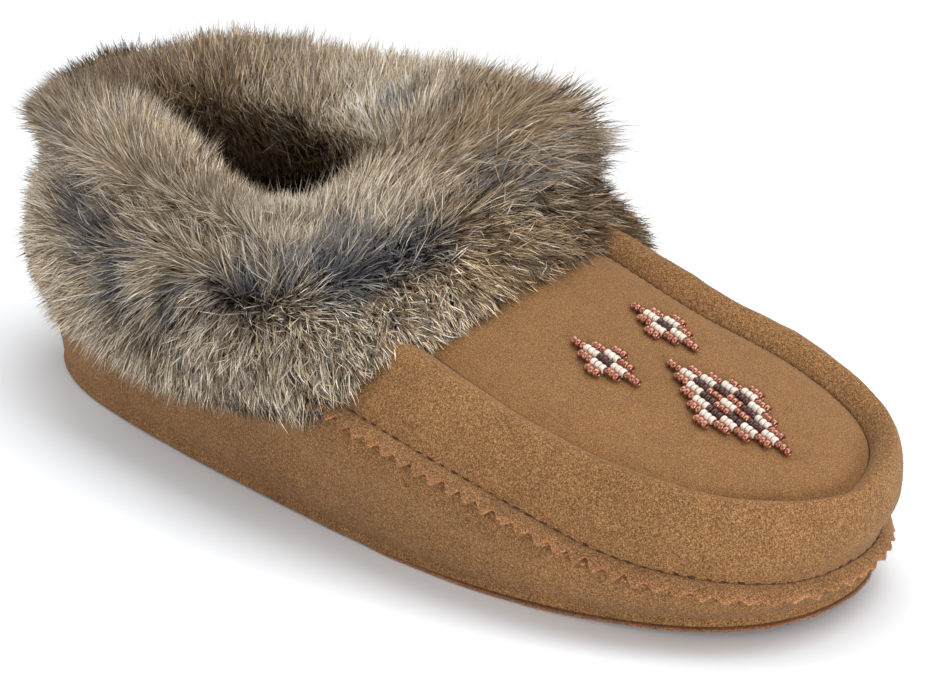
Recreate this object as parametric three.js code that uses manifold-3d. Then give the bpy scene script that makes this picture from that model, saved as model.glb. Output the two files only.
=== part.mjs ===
// Fur-cuffed moccasin slipper, right shoe, in millimetres.
// Heel at -X, toe at +X, medial (big-toe) side at +Y, sole on z = 0.
// The upper is one hollow suede body lofted through named sections: a lower
// wrap, a seam line, a side band and a padded roll that ends in the groove
// around the plug, or, behind the throat, in the collar rim.
import * as THREE from 'three';
import Module from 'manifold-3d';

// ---------------------------------------------------------------- sizes
const LENGTH = 252;          // sole, heel to toe
const SOLE = 2.8;            // outsole thickness
const SPRING = 2.6;          // toe lift at the tip
const SPRING_FROM = 182;     // the sole is flat behind this station
const WALL = 2.0;            // suede with its backing
const GAP = 0.3;             // between neighbouring pieces
const EDGE_IN = 0.8;         // upper's lower edge, in from the sole's edge
const INSOLE = 4.0;          // footbed thickness
const THROAT = 110;          // rear edge of the plug
const DIP = 0.9;             // the plug's edge sinks into the groove
const DIP_WIDTH = 5;
const FLANGE = 4.3;          // pinked seam, width to the tooth tips
const FLANGE_THICK = 1.8;
const FLANGE_LOW = 0.5;        // its middle, below the body's seam line; level with it at the toe
const TOOTH = 1.8;           // tooth depth
const TOOTH_PITCH = 4.8;
const FLANGE_NEAR = 0.5;     // its inner face, off the wall
const FLANGE_FROM = 92;      // station where the flange runs in under the fur
const BEAD = 1.4;          // pitch of beads along a string
const BEAD_ROW = 2.25;       // pitch of the strings
const BEAD_HIGH = 1.9;

// Sections of each side. s is the station along the sole, heel to toe.
// half: sole half width. seamOut, seamUp: the seam line, out from the sole's
// edge and up. bulge: fullness of the lower wrap. belly: fullness of the band.
// rimX, rimY: plan of the collar rim, further on of the groove. rimUp: rim
// height where there is a collar.
const LATERAL = [
  { s: 0,   half: 0,    seamOut: 1.0, seamUp: 40.0, bulge: 1.4, belly: 0.6, rimX: 6.0,   rimY: 0,    rimUp: 70.0 },
  { s: 10,  half: 21.0, seamOut: 0.0, seamUp: 41.0, bulge: 1.2, belly: 0.6, rimX: 11.0,  rimY: 12.0, rimUp: 70.0 },
  { s: 30,  half: 31.2, seamOut: 0.2, seamUp: 43.0, bulge: 1.6, belly: 0.6, rimX: 29.0,  rimY: 21.0, rimUp: 69.5 },
  { s: 70,  half: 38.9, seamOut: 0.4, seamUp: 44.5, bulge: 2.0, belly: 0.8, rimX: 70.0,  rimY: 26.2, rimUp: 66.0 },
  { s: 113, half: 43.4, seamOut: 2.0, seamUp: 41.5, bulge: 2.2, belly: 1.6, rimX: 113.0, rimY: 28.0, rimUp: 58.5 },
  { s: 156, half: 46.2, seamOut: 3.4, seamUp: 35.0, bulge: 2.0, belly: 2.6, rimX: 154.0, rimY: 31.8, rimUp: 54.0 },
  { s: 186, half: 44.5, seamOut: 3.8, seamUp: 29.0, bulge: 1.8, belly: 3.0, rimX: 184.0, rimY: 33.4, rimUp: 48.0 },
  { s: 217, half: 37.2, seamOut: 4.6, seamUp: 20.0, bulge: 1.4, belly: 3.4, rimX: 213.5, rimY: 30.4, rimUp: 40.0 },
  { s: 239, half: 26.2, seamOut: 4.2, seamUp: 16.0, bulge: 1.0, belly: 3.4, rimX: 236.0, rimY: 22.2, rimUp: 34.0 },
  { s: 252, half: 0,    seamOut: 2.6, seamUp: 14.0, bulge: 0.8, belly: 3.2, rimX: 252.3, rimY: -0.6, rimUp: 30.0 },
];
const MEDIAL = [
  { s: 0,   half: 0,    seamOut: 1.0, seamUp: 40.0, bulge: 1.4, belly: 0.6, rimX: 6.0,   rimY: 0,    rimUp: 70.0 },
  { s: 10,  half: 18.6, seamOut: 0.6, seamUp: 41.0, bulge: 1.4, belly: 0.6, rimX: 11.0,  rimY: 12.0, rimUp: 70.0 },
  { s: 30,  half: 28.2, seamOut: 0.2, seamUp: 43.0, bulge: 1.6, belly: 0.6, rimX: 29.0,  rimY: 21.0, rimUp: 70.0 },
  { s: 70,  half: 32.6, seamOut: 1.2, seamUp: 44.5, bulge: 2.2, belly: 1.0, rimX: 70.0,  rimY: 26.0, rimUp: 70.0 },
  { s: 113, half: 36.4, seamOut: 2.4, seamUp: 42.5, bulge: 2.4, belly: 1.8, rimX: 113.0, rimY: 26.8, rimUp: 66.0 },
  { s: 156, half: 43.6, seamOut: 2.6, seamUp: 35.0, bulge: 2.0, belly: 2.4, rimX: 156.0, rimY: 26.0, rimUp: 58.0 },
  { s: 186, half: 46.6, seamOut: 2.2, seamUp: 27.0, bulge: 1.6, belly: 2.8, rimX: 186.0, rimY: 25.2, rimUp: 50.0 },
  { s: 217, half: 42.0, seamOut: 1.8, seamUp: 19.0, bulge: 1.2, belly: 3.2, rimX: 215.0, rimY: 29.8, rimUp: 42.0 },
  { s: 239, half: 28.6, seamOut: 1.6, seamUp: 14.8, bulge: 1.0, belly: 3.4, rimX: 237.0, rimY: 26.0, rimUp: 35.0 },
  { s: 252, half: 0,    seamOut: 2.6, seamUp: 14.0, bulge: 0.8, belly: 3.2, rimX: 252.3, rimY: 0.6,  rimUp: 30.0 },
];
// The padded roll beside the groove, by station.
const ROLL = [
  { s: 0,   out: 0.9, up: -4.0 },
  { s: 95,  out: 1.0, up: -4.0 },
  { s: 135, out: 4.6, up: 2.4 },
  { s: 175, out: 5.0, up: 3.6 },
  { s: 215, out: 5.2, up: 3.8 },
  { s: 252, out: 5.2, up: 3.6 },
];
// Top of the plug: height along the foot, crown and tilt across it.
const VAMP = { x: 190, up: 49.0, slope: -0.241, bend: -0.00085, crown: 0.0038, tilt: 0.111, twist: -0.00067, rear: 165 };

// Fur cuff: sections round the opening, turn in degrees from the toe side
// (negative is lateral). low: where the cuff ends on the body. deep: fur depth.
// ridge: its top edge, out from the rim and up. shoulder: the fullness below
// it. inner, hem: the fur that turns down inside, in from the rim. wall: where
// along the body that ends.
const CUFF = [
  { turn: -180, lowX: -4, lowY: 0, lowZ: 26, deep: 8.5, ridgeO: 3.5, ridgeZ: 76.8, shoulderO: 13, shoulderZ: 69, innerO: 8.5, innerZ: 69, hemO: 7, hemZ: 47, wall: 0.46, lead: 0 },
  { turn: -160, lowX: 2.6, lowY: -16.7, lowZ: 26.1, deep: 8.4, ridgeO: 3.5, ridgeZ: 77, shoulderO: 13.2, shoulderZ: 69.3, innerO: 8.5, innerZ: 69.3, hemO: 6.7, hemZ: 47.2, wall: 0.46, lead: 0 },
  { turn: -140, lowX: 14, lowY: -29, lowZ: 26, deep: 8.5, ridgeO: 3.5, ridgeZ: 78, shoulderO: 13.5, shoulderZ: 69.5, innerO: 8.5, innerZ: 69, hemO: 6, hemZ: 47, wall: 0.46, lead: 0 },
  { turn: -90, lowX: 64, lowY: -40, lowZ: 25, deep: 9.5, ridgeO: 2, ridgeZ: 77.5, shoulderO: 13, shoulderZ: 68, innerO: 8, innerZ: 66, hemO: 3, hemZ: 45, wall: 0.46, lead: 0 },
  { turn: -52, lowX: 106, lowY: -45, lowZ: 28, deep: 10.5, ridgeO: 1, ridgeZ: 74.5, shoulderO: 13, shoulderZ: 66, innerO: 8, innerZ: 62, hemO: 4, hemZ: 45, wall: 0.42, lead: 0 },
  { turn: -31, lowX: 144, lowY: -47, lowZ: 37, deep: 10.5, ridgeO: 1, ridgeZ: 74, shoulderO: 13, shoulderZ: 67, innerO: 8, innerZ: 62, hemO: 6, hemZ: 46, wall: 0.26, lead: 0 },
  { turn: -20, lowX: 155, lowY: -34, lowZ: 52, deep: 10, ridgeO: 1, ridgeZ: 75, shoulderO: 13, shoulderZ: 69, innerO: 8, innerZ: 64, hemO: 8, hemZ: 48, wall: 0.18, lead: 0 },
  { turn: 0, lowX: 157, lowY: 0, lowZ: 57, deep: 9.5, ridgeO: 2, ridgeZ: 79, shoulderO: 15, shoulderZ: 73.5, innerO: 8, innerZ: 67, hemO: 8, hemZ: 50, wall: 0.16, lead: 1 },
  { turn: 12, lowX: 157.5, lowY: 17.2, lowZ: 60.6, deep: 11.2, ridgeO: 5, ridgeZ: 83, shoulderO: 18, shoulderZ: 74.5, innerO: 8.1, innerZ: 68.9, hemO: 8.3, hemZ: 50.4, wall: 0.16, lead: 7 },
  { turn: 24, lowX: 154.5, lowY: 34, lowZ: 52.8, deep: 14.1, ridgeO: 9, ridgeZ: 87, shoulderO: 22, shoulderZ: 75, innerO: 7.8, innerZ: 70.4, hemO: 7.3, hemZ: 49.3, wall: 0.21, lead: 14 },
  { turn: 31, lowX: 150, lowY: 43, lowZ: 42, deep: 16, ridgeO: 13, ridgeZ: 87.5, shoulderO: 24, shoulderZ: 76, innerO: 7.5, innerZ: 71, hemO: 6, hemZ: 48, wall: 0.26, lead: 14 },
  { turn: 38, lowX: 139.6, lowY: 45.1, lowZ: 35.9, deep: 16.2, ridgeO: 13.5, ridgeZ: 86, shoulderO: 23.5, shoulderZ: 76, innerO: 7.4, innerZ: 70.9, hemO: 5.1, hemZ: 47.1, wall: 0.32, lead: 7 },
  { turn: 52, lowX: 112, lowY: 40, lowZ: 30, deep: 14.5, ridgeO: 12.5, ridgeZ: 83, shoulderO: 22.5, shoulderZ: 75, innerO: 7.5, innerZ: 70, hemO: 4, hemZ: 46, wall: 0.42, lead: 0.5 },
  { turn: 70, lowX: 88, lowY: 38.1, lowZ: 26.4, deep: 12.8, ridgeO: 9.5, ridgeZ: 82.5, shoulderO: 19.5, shoulderZ: 73, innerO: 7.7, innerZ: 69.4, hemO: 3.1, hemZ: 45.7, wall: 0.46, lead: 0 },
  { turn: 90, lowX: 66, lowY: 36, lowZ: 26, deep: 11, ridgeO: 6.5, ridgeZ: 82, shoulderO: 17, shoulderZ: 73, innerO: 8, innerZ: 69, hemO: 3, hemZ: 46, wall: 0.46, lead: 0 },
  { turn: 110, lowX: 42.9, lowY: 34.5, lowZ: 25.6, deep: 9.9, ridgeO: 5.5, ridgeZ: 83, shoulderO: 16, shoulderZ: 73, innerO: 8.2, innerZ: 68.9, hemO: 3.9, hemZ: 46.4, wall: 0.46, lead: 0 },
  { turn: 140, lowX: 14, lowY: 28, lowZ: 26, deep: 9, ridgeO: 4, ridgeZ: 82, shoulderO: 14.5, shoulderZ: 72, innerO: 8.5, innerZ: 69, hemO: 6, hemZ: 47, wall: 0.46, lead: 0 },
  { turn: 160, lowX: 2.4, lowY: 16.4, lowZ: 26, deep: 8.6, ridgeO: 3.8, ridgeZ: 79, shoulderO: 13.8, shoulderZ: 70, innerO: 8.5, innerZ: 69, hemO: 6.7, hemZ: 47.1, wall: 0.46, lead: 0 },
  { turn: 180, lowX: -4, lowY: 0, lowZ: 26, deep: 8.5, ridgeO: 3.5, ridgeZ: 76.8, shoulderO: 13, shoulderZ: 69, innerO: 8.5, innerZ: 69, hemO: 7, hemZ: 47, wall: 0.46, lead: 0 },
];
// Depth of the cuff from the ridge (0) to its lower lip (1), as a part of deep.
const CUFF_DEPTH = [
  { along: 0.34, part: 1.06 }, { along: 0.58, part: 0.98 },
  { along: 0.82, part: 0.78 }, { along: 1.0, part: 0.34 },
];

// Mesh fineness.
const ROUND = 96;            // stations round the upper
const RISE = [2, 2, 2, 3, 2];
const RISE_IN = [1, 1, 1, 1, 1];
const PLUG_WIDE = 8;
// How far each outer row joins in the forward sweep of the front's inner side.
const CUFF_AHEAD = [0, 0, 0.1, 0.42, 0.85];
const CUFF_ROUND = 60;
const CUT = 0.4;             // clearance cut round the wall inside the cuff

// ---------------------------------------------------------------- curves
// Smooth curve through knots, with parabola slopes.
function slopes(x, y) {
  const n = x.length, d = [], m = [];
  for (let i = 0; i < n - 1; i++) d.push((y[i + 1] - y[i]) / (x[i + 1] - x[i]));
  for (let i = 1; i < n - 1; i++) {
    const a = x[i] - x[i - 1], b = x[i + 1] - x[i];
    m[i] = (d[i - 1] * b + d[i] * a) / (a + b);
  }
  m[0] = n > 2 ? 2 * d[0] - m[1] : d[0];
  m[n - 1] = n > 2 ? 2 * d[n - 2] - m[n - 2] : d[0];
  return m;
}
function through(x, y) {
  const m = slopes(x, y);
  return (q) => {
    let i = 0;
    while (i < x.length - 2 && q > x[i + 1]) i++;
    const h = x[i + 1] - x[i], t = Math.min(1, Math.max(0, (q - x[i]) / h));
    const t2 = t * t, t3 = t2 * t;
    return y[i] * (2 * t3 - 3 * t2 + 1) + m[i] * h * (t3 - 2 * t2 + t)
      + y[i + 1] * (3 * t2 - 2 * t3) + m[i + 1] * h * (t3 - t2);
  };
}
const mix = (a, b, t) => a + (b - a) * t;
const ramp = (a, b, x) => { const t = Math.min(1, Math.max(0, (x - a) / (b - a))); return t * t * (3 - 2 * t); };

// A station s and the angle-like parameter t, which rounds both ends.
const tOf = (s) => Math.acos(1 - 2 * Math.min(1, Math.max(0, s / LENGTH))) / Math.PI;
const sOf = (t) => LENGTH * (0.5 - 0.5 * Math.cos(Math.PI * t));
const column = (rows, key) => through(rows.map((r) => tOf(r.s)), rows.map((r) => r[key]));
const columns = (rows) => Object.fromEntries(Object.keys(rows[0]).filter((k) => k !== 's').map((k) => [k, column(rows, k)]));
const lat = columns(LATERAL), med = columns(MEDIAL), roll = columns(ROLL);

// u runs once round: heel 0, lateral side, toe 0.5, medial side, heel 1.
function side(u) {
  const w = ((u % 1) + 1) % 1;
  return w <= 0.5 ? { t: 2 * w, f: lat, k: -1 } : { t: 2 - 2 * w, f: med, k: 1 };
}
function soleEdge(u) {
  const { t, f, k } = side(u);
  return [sOf(t), k * f.half(t)];
}
function rimPlan(u) {
  const { t, f, k } = side(u);
  return [f.rimX(t), k * f.rimY(t)];
}
function outward(curve, u) {
  const d = 1e-3, a = curve(u - d), b = curve(u + d);
  const x = b[0] - a[0], y = b[1] - a[1], n = Math.hypot(x, y);
  return [y / n, -x / n];
}
const springAt = (x) => SPRING * Math.max(0, (x - SPRING_FROM) / (LENGTH - SPRING_FROM)) ** 2;

function vampUp(x, y) {
  const d = x - VAMP.x, tilt = VAMP.tilt + VAMP.twist * Math.max(d, VAMP.rear - VAMP.x);
  return VAMP.up + VAMP.slope * d + VAMP.bend * d * d - VAMP.crown * y * y + tilt * y;
}
const throatAt = (u) => { const { t } = side(u); return ramp(104, 136, sOf(t)); };   // 0 collar, 1 groove
function rimUp(u) {
  const { t, f } = side(u), [x, y] = rimPlan(u);
  return mix(f.rimUp(t), vampUp(x, y) - DIP, throatAt(u));
}

// Section of the upper at u: six knots from the sole's edge to the rim.
function knots(u, padded) {
  const { t, f } = side(u);
  const e = soleEdge(u), n = outward(soleEdge, u);
  const r = rimPlan(u), q = outward(rimPlan, u), rz = rimUp(u);
  const foot = SOLE + GAP + springAt(e[0]);
  const so = f.seamOut(t), su = f.seamUp(t);
  const at = (o, z) => [e[0] + n[0] * o, e[1] + n[1] * o, z];
  const p0 = at(-EDGE_IN, foot);
  const p2 = at(so, su);
  const p1 = at(mix(-EDGE_IN, so, 0.5) + f.bulge(t), mix(foot, su, 0.42));
  const ro = roll.out(t), ru = padded ? roll.up(t) : Math.min(roll.up(t), -0.4);
  const p4 = [r[0] + q[0] * ro, r[1] + q[1] * ro, rz + ru];
  const p5 = [r[0], r[1], rz];
  const c = [p4[0] - p2[0], p4[1] - p2[1], p4[2] - p2[2]];
  const inward = -(c[0] * n[0] + c[1] * n[1]), len = Math.hypot(inward, c[2]);
  const b = f.belly(t);
  const p3 = [p2[0] + c[0] * 0.52 + n[0] * b * c[2] / len, p2[1] + c[1] * 0.52 + n[1] * b * c[2] / len,
    p2[2] + c[2] * 0.52 + b * inward / len];
  return [p0, p1, p2, p3, p4, p5];
}
// The section as a curve f of the length w up it; w lists its knots.
function profile(u, padded) {
  const p = knots(u, padded), w = [0];
  for (let i = 1; i < p.length; i++) w.push(w[i - 1] + Math.hypot(...p[i].map((v, k) => v - p[i - 1][k])));
  return { p, w, f: [0, 1, 2].map((k) => through(w, p.map((v) => v[k]))) };
}
// Points up one section, rise[i] steps between knot i and i + 1.
function section(u, rise, padded) {
  const { p, w, f } = profile(u, padded), out = [];
  for (let i = 0; i < rise.length; i++) {
    for (let j = 0; j < rise[i]; j++) out.push(f.map((g) => g(mix(w[i], w[i + 1], j / rise[i]))));
  }
  out.push([...p[p.length - 1]]);
  return out;
}

// ---------------------------------------------------------------- solids
// A loop of equal closed sections, joined round.
function ringSolid(sections) {
  const pos = [], tri = [], n = sections.length, m = sections[0].length;
  for (const s of sections) for (const p of s) pos.push(...p);
  for (let i = 0; i < n; i++) {
    const a = i * m, b = ((i + 1) % n) * m;
    for (let j = 0; j < m; j++) {
      const k = (j + 1) % m;
      tri.push(a + j, b + j, b + k, a + j, b + k, a + k);
    }
  }
  return { pos, tri };
}
// Sections in a row, with flat ends.
function barSolid(sections) {
  const { pos, tri } = ringSolid(sections), m = sections[0].length, n = sections.length;
  tri.splice((n - 1) * m * 6);
  for (let j = 1; j < m - 1; j++) {
    tri.push(0, j, j + 1);
    const a = (n - 1) * m;
    tri.push(a, a + j + 1, a + j);
  }
  return { pos, tri };
}
function volume({ pos, tri }) {
  let v = 0;
  for (let i = 0; i < tri.length; i += 3) {
    const [a, b, c] = [0, 1, 2].map((k) => pos.slice(tri[i + k] * 3, tri[i + k] * 3 + 3));
    v += a[0] * (b[1] * c[2] - b[2] * c[1]) + a[1] * (b[2] * c[0] - b[0] * c[2]) + a[2] * (b[0] * c[1] - b[1] * c[0]);
  }
  return v / 6;
}
function facingOut(s) {
  if (volume(s) < 0) for (let i = 0; i < s.tri.length; i += 3) [s.tri[i], s.tri[i + 1]] = [s.tri[i + 1], s.tri[i]];
  return s;
}

// The upper: outside row by row, then the inside back down.
function upperSolid(grow) {
  const inner = [];
  const sections = [];
  for (let i = 0; i < ROUND; i++) {
    const u = i / ROUND;
    sections.push(section(u, RISE, true));
    inner.push(section(u, RISE_IN, false));
  }
  const normals = (grid) => grid.map((s, i) => s.map((p, j) => {
    const a = grid[(i + ROUND - 1) % ROUND][j], b = grid[(i + 1) % ROUND][j];
    const c = s[Math.max(0, j - 1)], d = s[Math.min(s.length - 1, j + 1)];
    const n = new THREE.Vector3(b[0] - a[0], b[1] - a[1], b[2] - a[2])
      .cross(new THREE.Vector3(d[0] - c[0], d[1] - c[1], d[2] - c[2])).normalize();
    return n;
  }));
  const no = normals(sections), ni = normals(inner);
  return facingOut(ringSolid(sections.map((s, i) => {
    const u = i / ROUND, q = outward(rimPlan, u), k = throatAt(u), e = outward(soleEdge, u);
    const out = s.map((p, j) => {
      const n = no[i][j];
      return [p[0] + n.x * grow, p[1] + n.y * grow, p[2] + n.z * grow];
    });
    const w = WALL + grow;
    const back = inner[i].map((p, j) => {
      let n = ni[i][j].clone();
      if (j === 0) n.set(e[0], e[1], 0);
      if (j === inner[i].length - 1) n.set(q[0] * (1 - k), q[1] * (1 - k), k).normalize();
      return [p[0] - n.x * w, p[1] - n.y * w, p[2] - n.z * w];
    });
    if (grow > 0) {
      // the rim's top rises by the same clearance
      for (const row of [out, back]) row[row.length - 1][2] += grow * (1 + 3 * k) * (1 - k);
      for (const row of [out, back]) { row[row.length - 1][0] -= q[0] * grow * k; row[row.length - 1][1] -= q[1] * grow * k; }
    }
    return [...out, ...back.reverse()];
  })));
}

// A plate between the lateral and the medial side of a closed plan, tip fanned.
// rows: {l, m} plan points per station. top/bottom give heights.
function plateSolid(rows, wide, top, bottom, closedRear, tip) {
  const pos = [], tri = [];
  const add = (x, y, z) => { pos.push(x, y, z); return pos.length / 3 - 1; };
  const layer = (h) => {
    const grid = rows.map(({ l, m }) => {
      const line = [];
      for (let j = 0; j <= wide; j++) {
        const x = mix(l[0], m[0], j / wide), y = mix(l[1], m[1], j / wide);
        line.push(add(x, y, h(x, y, j / wide)));
      }
      return line;
    });
    const ends = [closedRear ? add(closedRear[0], closedRear[1], h(closedRear[0], closedRear[1], 0)) : -1,
      add(tip[0], tip[1], h(tip[0], tip[1], 0))];
    return { grid, ends };
  };
  const a = layer(top), b = layer(bottom), n = rows.length;
  for (let i = 0; i < n - 1; i++) for (let j = 0; j < wide; j++) {
    const g = a.grid, h = b.grid;
    tri.push(g[i][j], g[i + 1][j], g[i + 1][j + 1], g[i][j], g[i + 1][j + 1], g[i][j + 1]);
    tri.push(h[i][j], h[i + 1][j + 1], h[i + 1][j], h[i][j], h[i][j + 1], h[i + 1][j + 1]);
  }
  const last = n - 1;
  for (let j = 0; j < wide; j++) {
    tri.push(a.grid[last][j], a.ends[1], a.grid[last][j + 1]);
    tri.push(b.grid[last][j], b.grid[last][j + 1], b.ends[1]);
    if (closedRear) {
      tri.push(a.grid[0][j + 1], a.ends[0], a.grid[0][j]);
      tri.push(b.grid[0][j], b.ends[0], b.grid[0][j + 1]);
    }
  }
  // wall round the edge
  const rim = (g, e) => {
    const loop = g.map((r) => r[0]);
    loop.push(e[1]);
    for (let i = last; i >= 0; i--) loop.push(g[i][wide]);
    if (closedRear) loop.push(e[0]);
    else for (let j = wide - 1; j > 0; j--) loop.push(g[0][j]);
    return loop;
  };
  const ra = rim(a.grid, a.ends), rb = rim(b.grid, b.ends);
  for (let i = 0; i < ra.length; i++) {
    const k = (i + 1) % ra.length;
    tri.push(ra[i], rb[i], rb[k], ra[i], rb[k], ra[k]);
  }
  return facingOut({ pos, tri });
}

function solePlan(inset, count) {
  const rows = [];
  for (let i = 1; i < count; i++) {
    const t = i / count;
    const at = (u) => { const p = soleEdge(u), n = outward(soleEdge, u); return [p[0] - n[0] * inset, p[1] - n[1] * inset]; };
    rows.push({ l: at(t / 2), m: at(1 - t / 2) });
  }
  return { rows, heel: [inset, 0], toe: [LENGTH - inset, 0] };
}
// Outsole with a rounded lower edge: three levels of the same plan.
function outsoleSolid() {
  const count = 44, levels = [
    { inset: 0.9, z: 0 }, { inset: 0, z: 0.8 }, { inset: 0, z: SOLE },
  ];
  const pos = [], tri = [];
  const loops = levels.map(({ inset, z }) => {
    const p = solePlan(inset, count), loop = [p.heel, ...p.rows.map((r) => r.l), p.toe, ...p.rows.map((r) => r.m).reverse()];
    return loop.map(([x, y]) => { pos.push(x, y, z + springAt(x)); return pos.length / 3 - 1; });
  });
  const n = loops[0].length;
  for (let k = 0; k < 2; k++) for (let i = 0; i < n; i++) {
    const a = loops[k], b = loops[k + 1], j = (i + 1) % n;
    tri.push(a[i], a[j], b[j], a[i], b[j], b[i]);
  }
  const cap = (loop, up) => {
    const put = (a, b, c) => (up ? tri.push(a, b, c) : tri.push(a, c, b));
    for (let i = 0; i < count; i++) {
      const l0 = loop[i], l1 = loop[i + 1], m0 = loop[(n - i) % n], m1 = loop[n - i - 1];
      if (l0 !== m0) put(l0, l1, m0);
      if (l1 !== m1) put(l1, m1, m0);
    }
  };
  cap(loops[2], true);
  cap(loops[0], false);
  return facingOut({ pos, tri });
}
function insoleSolid() {
  const p = solePlan(EDGE_IN + WALL + GAP + 0.2, 36), base = SOLE + GAP;
  return plateSolid(p.rows, 1, (x) => base + INSOLE + springAt(x), (x) => base + springAt(x), p.heel, p.toe);
}

// The plug, from the throat to the toe.
function plugRows(gap) {
  // the same stations as the upper's, so that the groove keeps one width
  const rows = [], t0 = tOf(THROAT), step = 2 / ROUND, stations = [t0];
  for (let i = Math.ceil((t0 + 0.3 * step) / step); i * step < 1 - 1e-6; i++) stations.push(i * step);
  for (const t of stations) {
    const at = (u) => {
      const p = rimPlan(u), q = outward(rimPlan, u), k = throatAt(u), inset = gap + (WALL + GAP) * (1 - k) / Math.hypot(1 - k, k);
      return [p[0] - q[0] * inset, p[1] - q[1] * inset];
    };
    rows.push({ l: at(t / 2), m: at(1 - t / 2) });
  }
  return rows;
}
function plugSolid(grow) {
  const rows = plugRows(GAP - grow);
  const tip = rimPlan(0.5);
  if (grow > 0) for (const k of ['l', 'm']) rows[0][k][0] -= grow;
  const nearEdge = (x, y) => {
    // distance to the groove, measured across
    let best = 1e9;
    for (const r of rows) for (const p of [r.l, r.m]) best = Math.min(best, Math.hypot(p[0] - x, p[1] - y));
    return Math.min(best, Math.hypot(tip[0] - x, tip[1] - y));
  };
  const up = (x, y) => vampUp(x, y) - DIP * (1 - ramp(0, DIP_WIDTH, nearEdge(x, y)));
  return plateSolid(rows, PLUG_WIDE, (x, y) => up(x, y) + grow, (x, y) => up(x, y) - WALL - grow, null,
    [tip[0] - (GAP - grow), tip[1]]);
}

// The pinked flange hangs out and down from the seam line, its inner face on the
// body's own surface.
function flangeSolid(grow) {
  const from = tOf(FLANGE_FROM), steps = [], half = TOOTH_PITCH / 2;
  const seam = (v) => profile(v, true).p[2];
  let u = from / 2, run = 0, prev = seam(u), tip = true;
  steps.push({ u, tip: false });
  while (u < 1 - from / 2) {
    u += 0.0004;
    const p = seam(u);
    run += Math.hypot(p[0] - prev[0], p[1] - prev[1], p[2] - prev[2]);
    prev = p;
    if (run >= half) { steps.push({ u, tip }); tip = !tip; run = 0; }
  }
  steps[0].u -= grow * 0.004;
  steps[steps.length - 1].u += grow * 0.004;
  return facingOut(barSolid(steps.map(({ u: v, tip: out }) => {
    const { w, f } = profile(v, true), n = outward(soleEdge, v), { t } = side(v);
    const low = mix(FLANGE_LOW, -0.1, ramp(150, 245, sOf(t)));
    const over = (d, off) => {           // off the body, d up from the flange's middle
      const q = w[2] - low + d, a = f.map((g) => g(q - 0.2)), b = f.map((g) => g(q + 0.2)), p = f.map((g) => g(q));
      const rise = b[2] - a[2], lean = (b[0] - a[0]) * n[0] + (b[1] - a[1]) * n[1], l = Math.hypot(rise, lean);
      return [p[0] + n[0] * off * rise / l, p[1] + n[1] * off * rise / l, p[2] - off * lean / l];
    };
    const inToe = v > 0.5 ? ramp(0.02, 0.09, v - 0.5) : 0;
    const droop = mix(0.95, mix(0.68, 1.3, inToe), ramp(110, 240, sOf(t)));   // radians below level
    const c = Math.cos(droop), s = Math.sin(droop), h = FLANGE_THICK / 2 + grow, root = over(0, FLANGE_NEAR);
    const at = (a, b) => [root[0] + n[0] * (a * c + b * s), root[1] + n[1] * (a * c + b * s), root[2] - a * s + b * c];
    const wide = FLANGE - (out ? 0 : TOOTH) + grow;
    return [over(-h - grow, FLANGE_NEAR - grow), at(wide, -h), at(wide, h), over(h + grow, FLANGE_NEAR - grow)];
  })));
}

// Points spread over the body's outside, with normals: the cuff is built on them.
function bodySamples() {
  const out = [], n = 220, rise = [6, 8, 8, 8, 5];
  const grid = [];
  for (let i = 0; i < n; i++) grid.push(section(i / n, rise, true));
  const take = (g, i, j, a, b, c, d) => {
    const v = new THREE.Vector3(b[0] - a[0], b[1] - a[1], b[2] - a[2])
      .cross(new THREE.Vector3(d[0] - c[0], d[1] - c[1], d[2] - c[2])).normalize();
    out.push({ p: g[i][j], n: [v.x, v.y, v.z] });
  };
  const m = grid[0].length;
  for (let i = 0; i < n; i++) for (let j = 0; j < m; j++) {
    take(grid, i, j, grid[(i + n - 1) % n][j], grid[(i + 1) % n][j], grid[i][Math.max(0, j - 1)], grid[i][Math.min(m - 1, j + 1)]);
  }
  for (let x = THROAT; x < 190; x += 2.5) for (let y = -32; y <= 32; y += 2.5) {
    const t = tOf(x), l = rimPlan(t / 2)[1] + 0.8, r = rimPlan(1 - t / 2)[1] - 0.8;
    if (y < l || y > r) continue;
    const e = 0.5, dx = (vampUp(x + e, y) - vampUp(x - e, y)) / (2 * e), dy = (vampUp(x, y + e) - vampUp(x, y - e)) / (2 * e);
    const k = Math.hypot(dx, dy, 1);
    out.push({ p: [x, y, vampUp(x, y)], n: [-dx / k, -dy / k, 1 / k] });
  }
  return out;
}
// The body point nearest to q, evened over its neighbours.
function onBody(samples, q) {
  const near = [];
  for (const s of samples) {
    const d = (s.p[0] - q[0]) ** 2 + (s.p[1] - q[1]) ** 2 + (s.p[2] - q[2]) ** 2;
    if (near.length < 7) { near.push([d, s]); near.sort((a, b) => a[0] - b[0]); }
    else if (d < near[6][0]) { near[6] = [d, s]; near.sort((a, b) => a[0] - b[0]); }
  }
  const p = [0, 0, 0], n = [0, 0, 0];
  let w = 0;
  for (const [d, s] of near) {
    const k = 1 / (d - near[0][0] + 1.5);
    w += k;
    for (let i = 0; i < 3; i++) { p[i] += k * s.p[i]; n[i] += k * s.n[i]; }
  }
  const l = Math.hypot(...n);
  return { p: p.map((v) => v / w), n: n.map((v) => v / l) };
}

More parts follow.
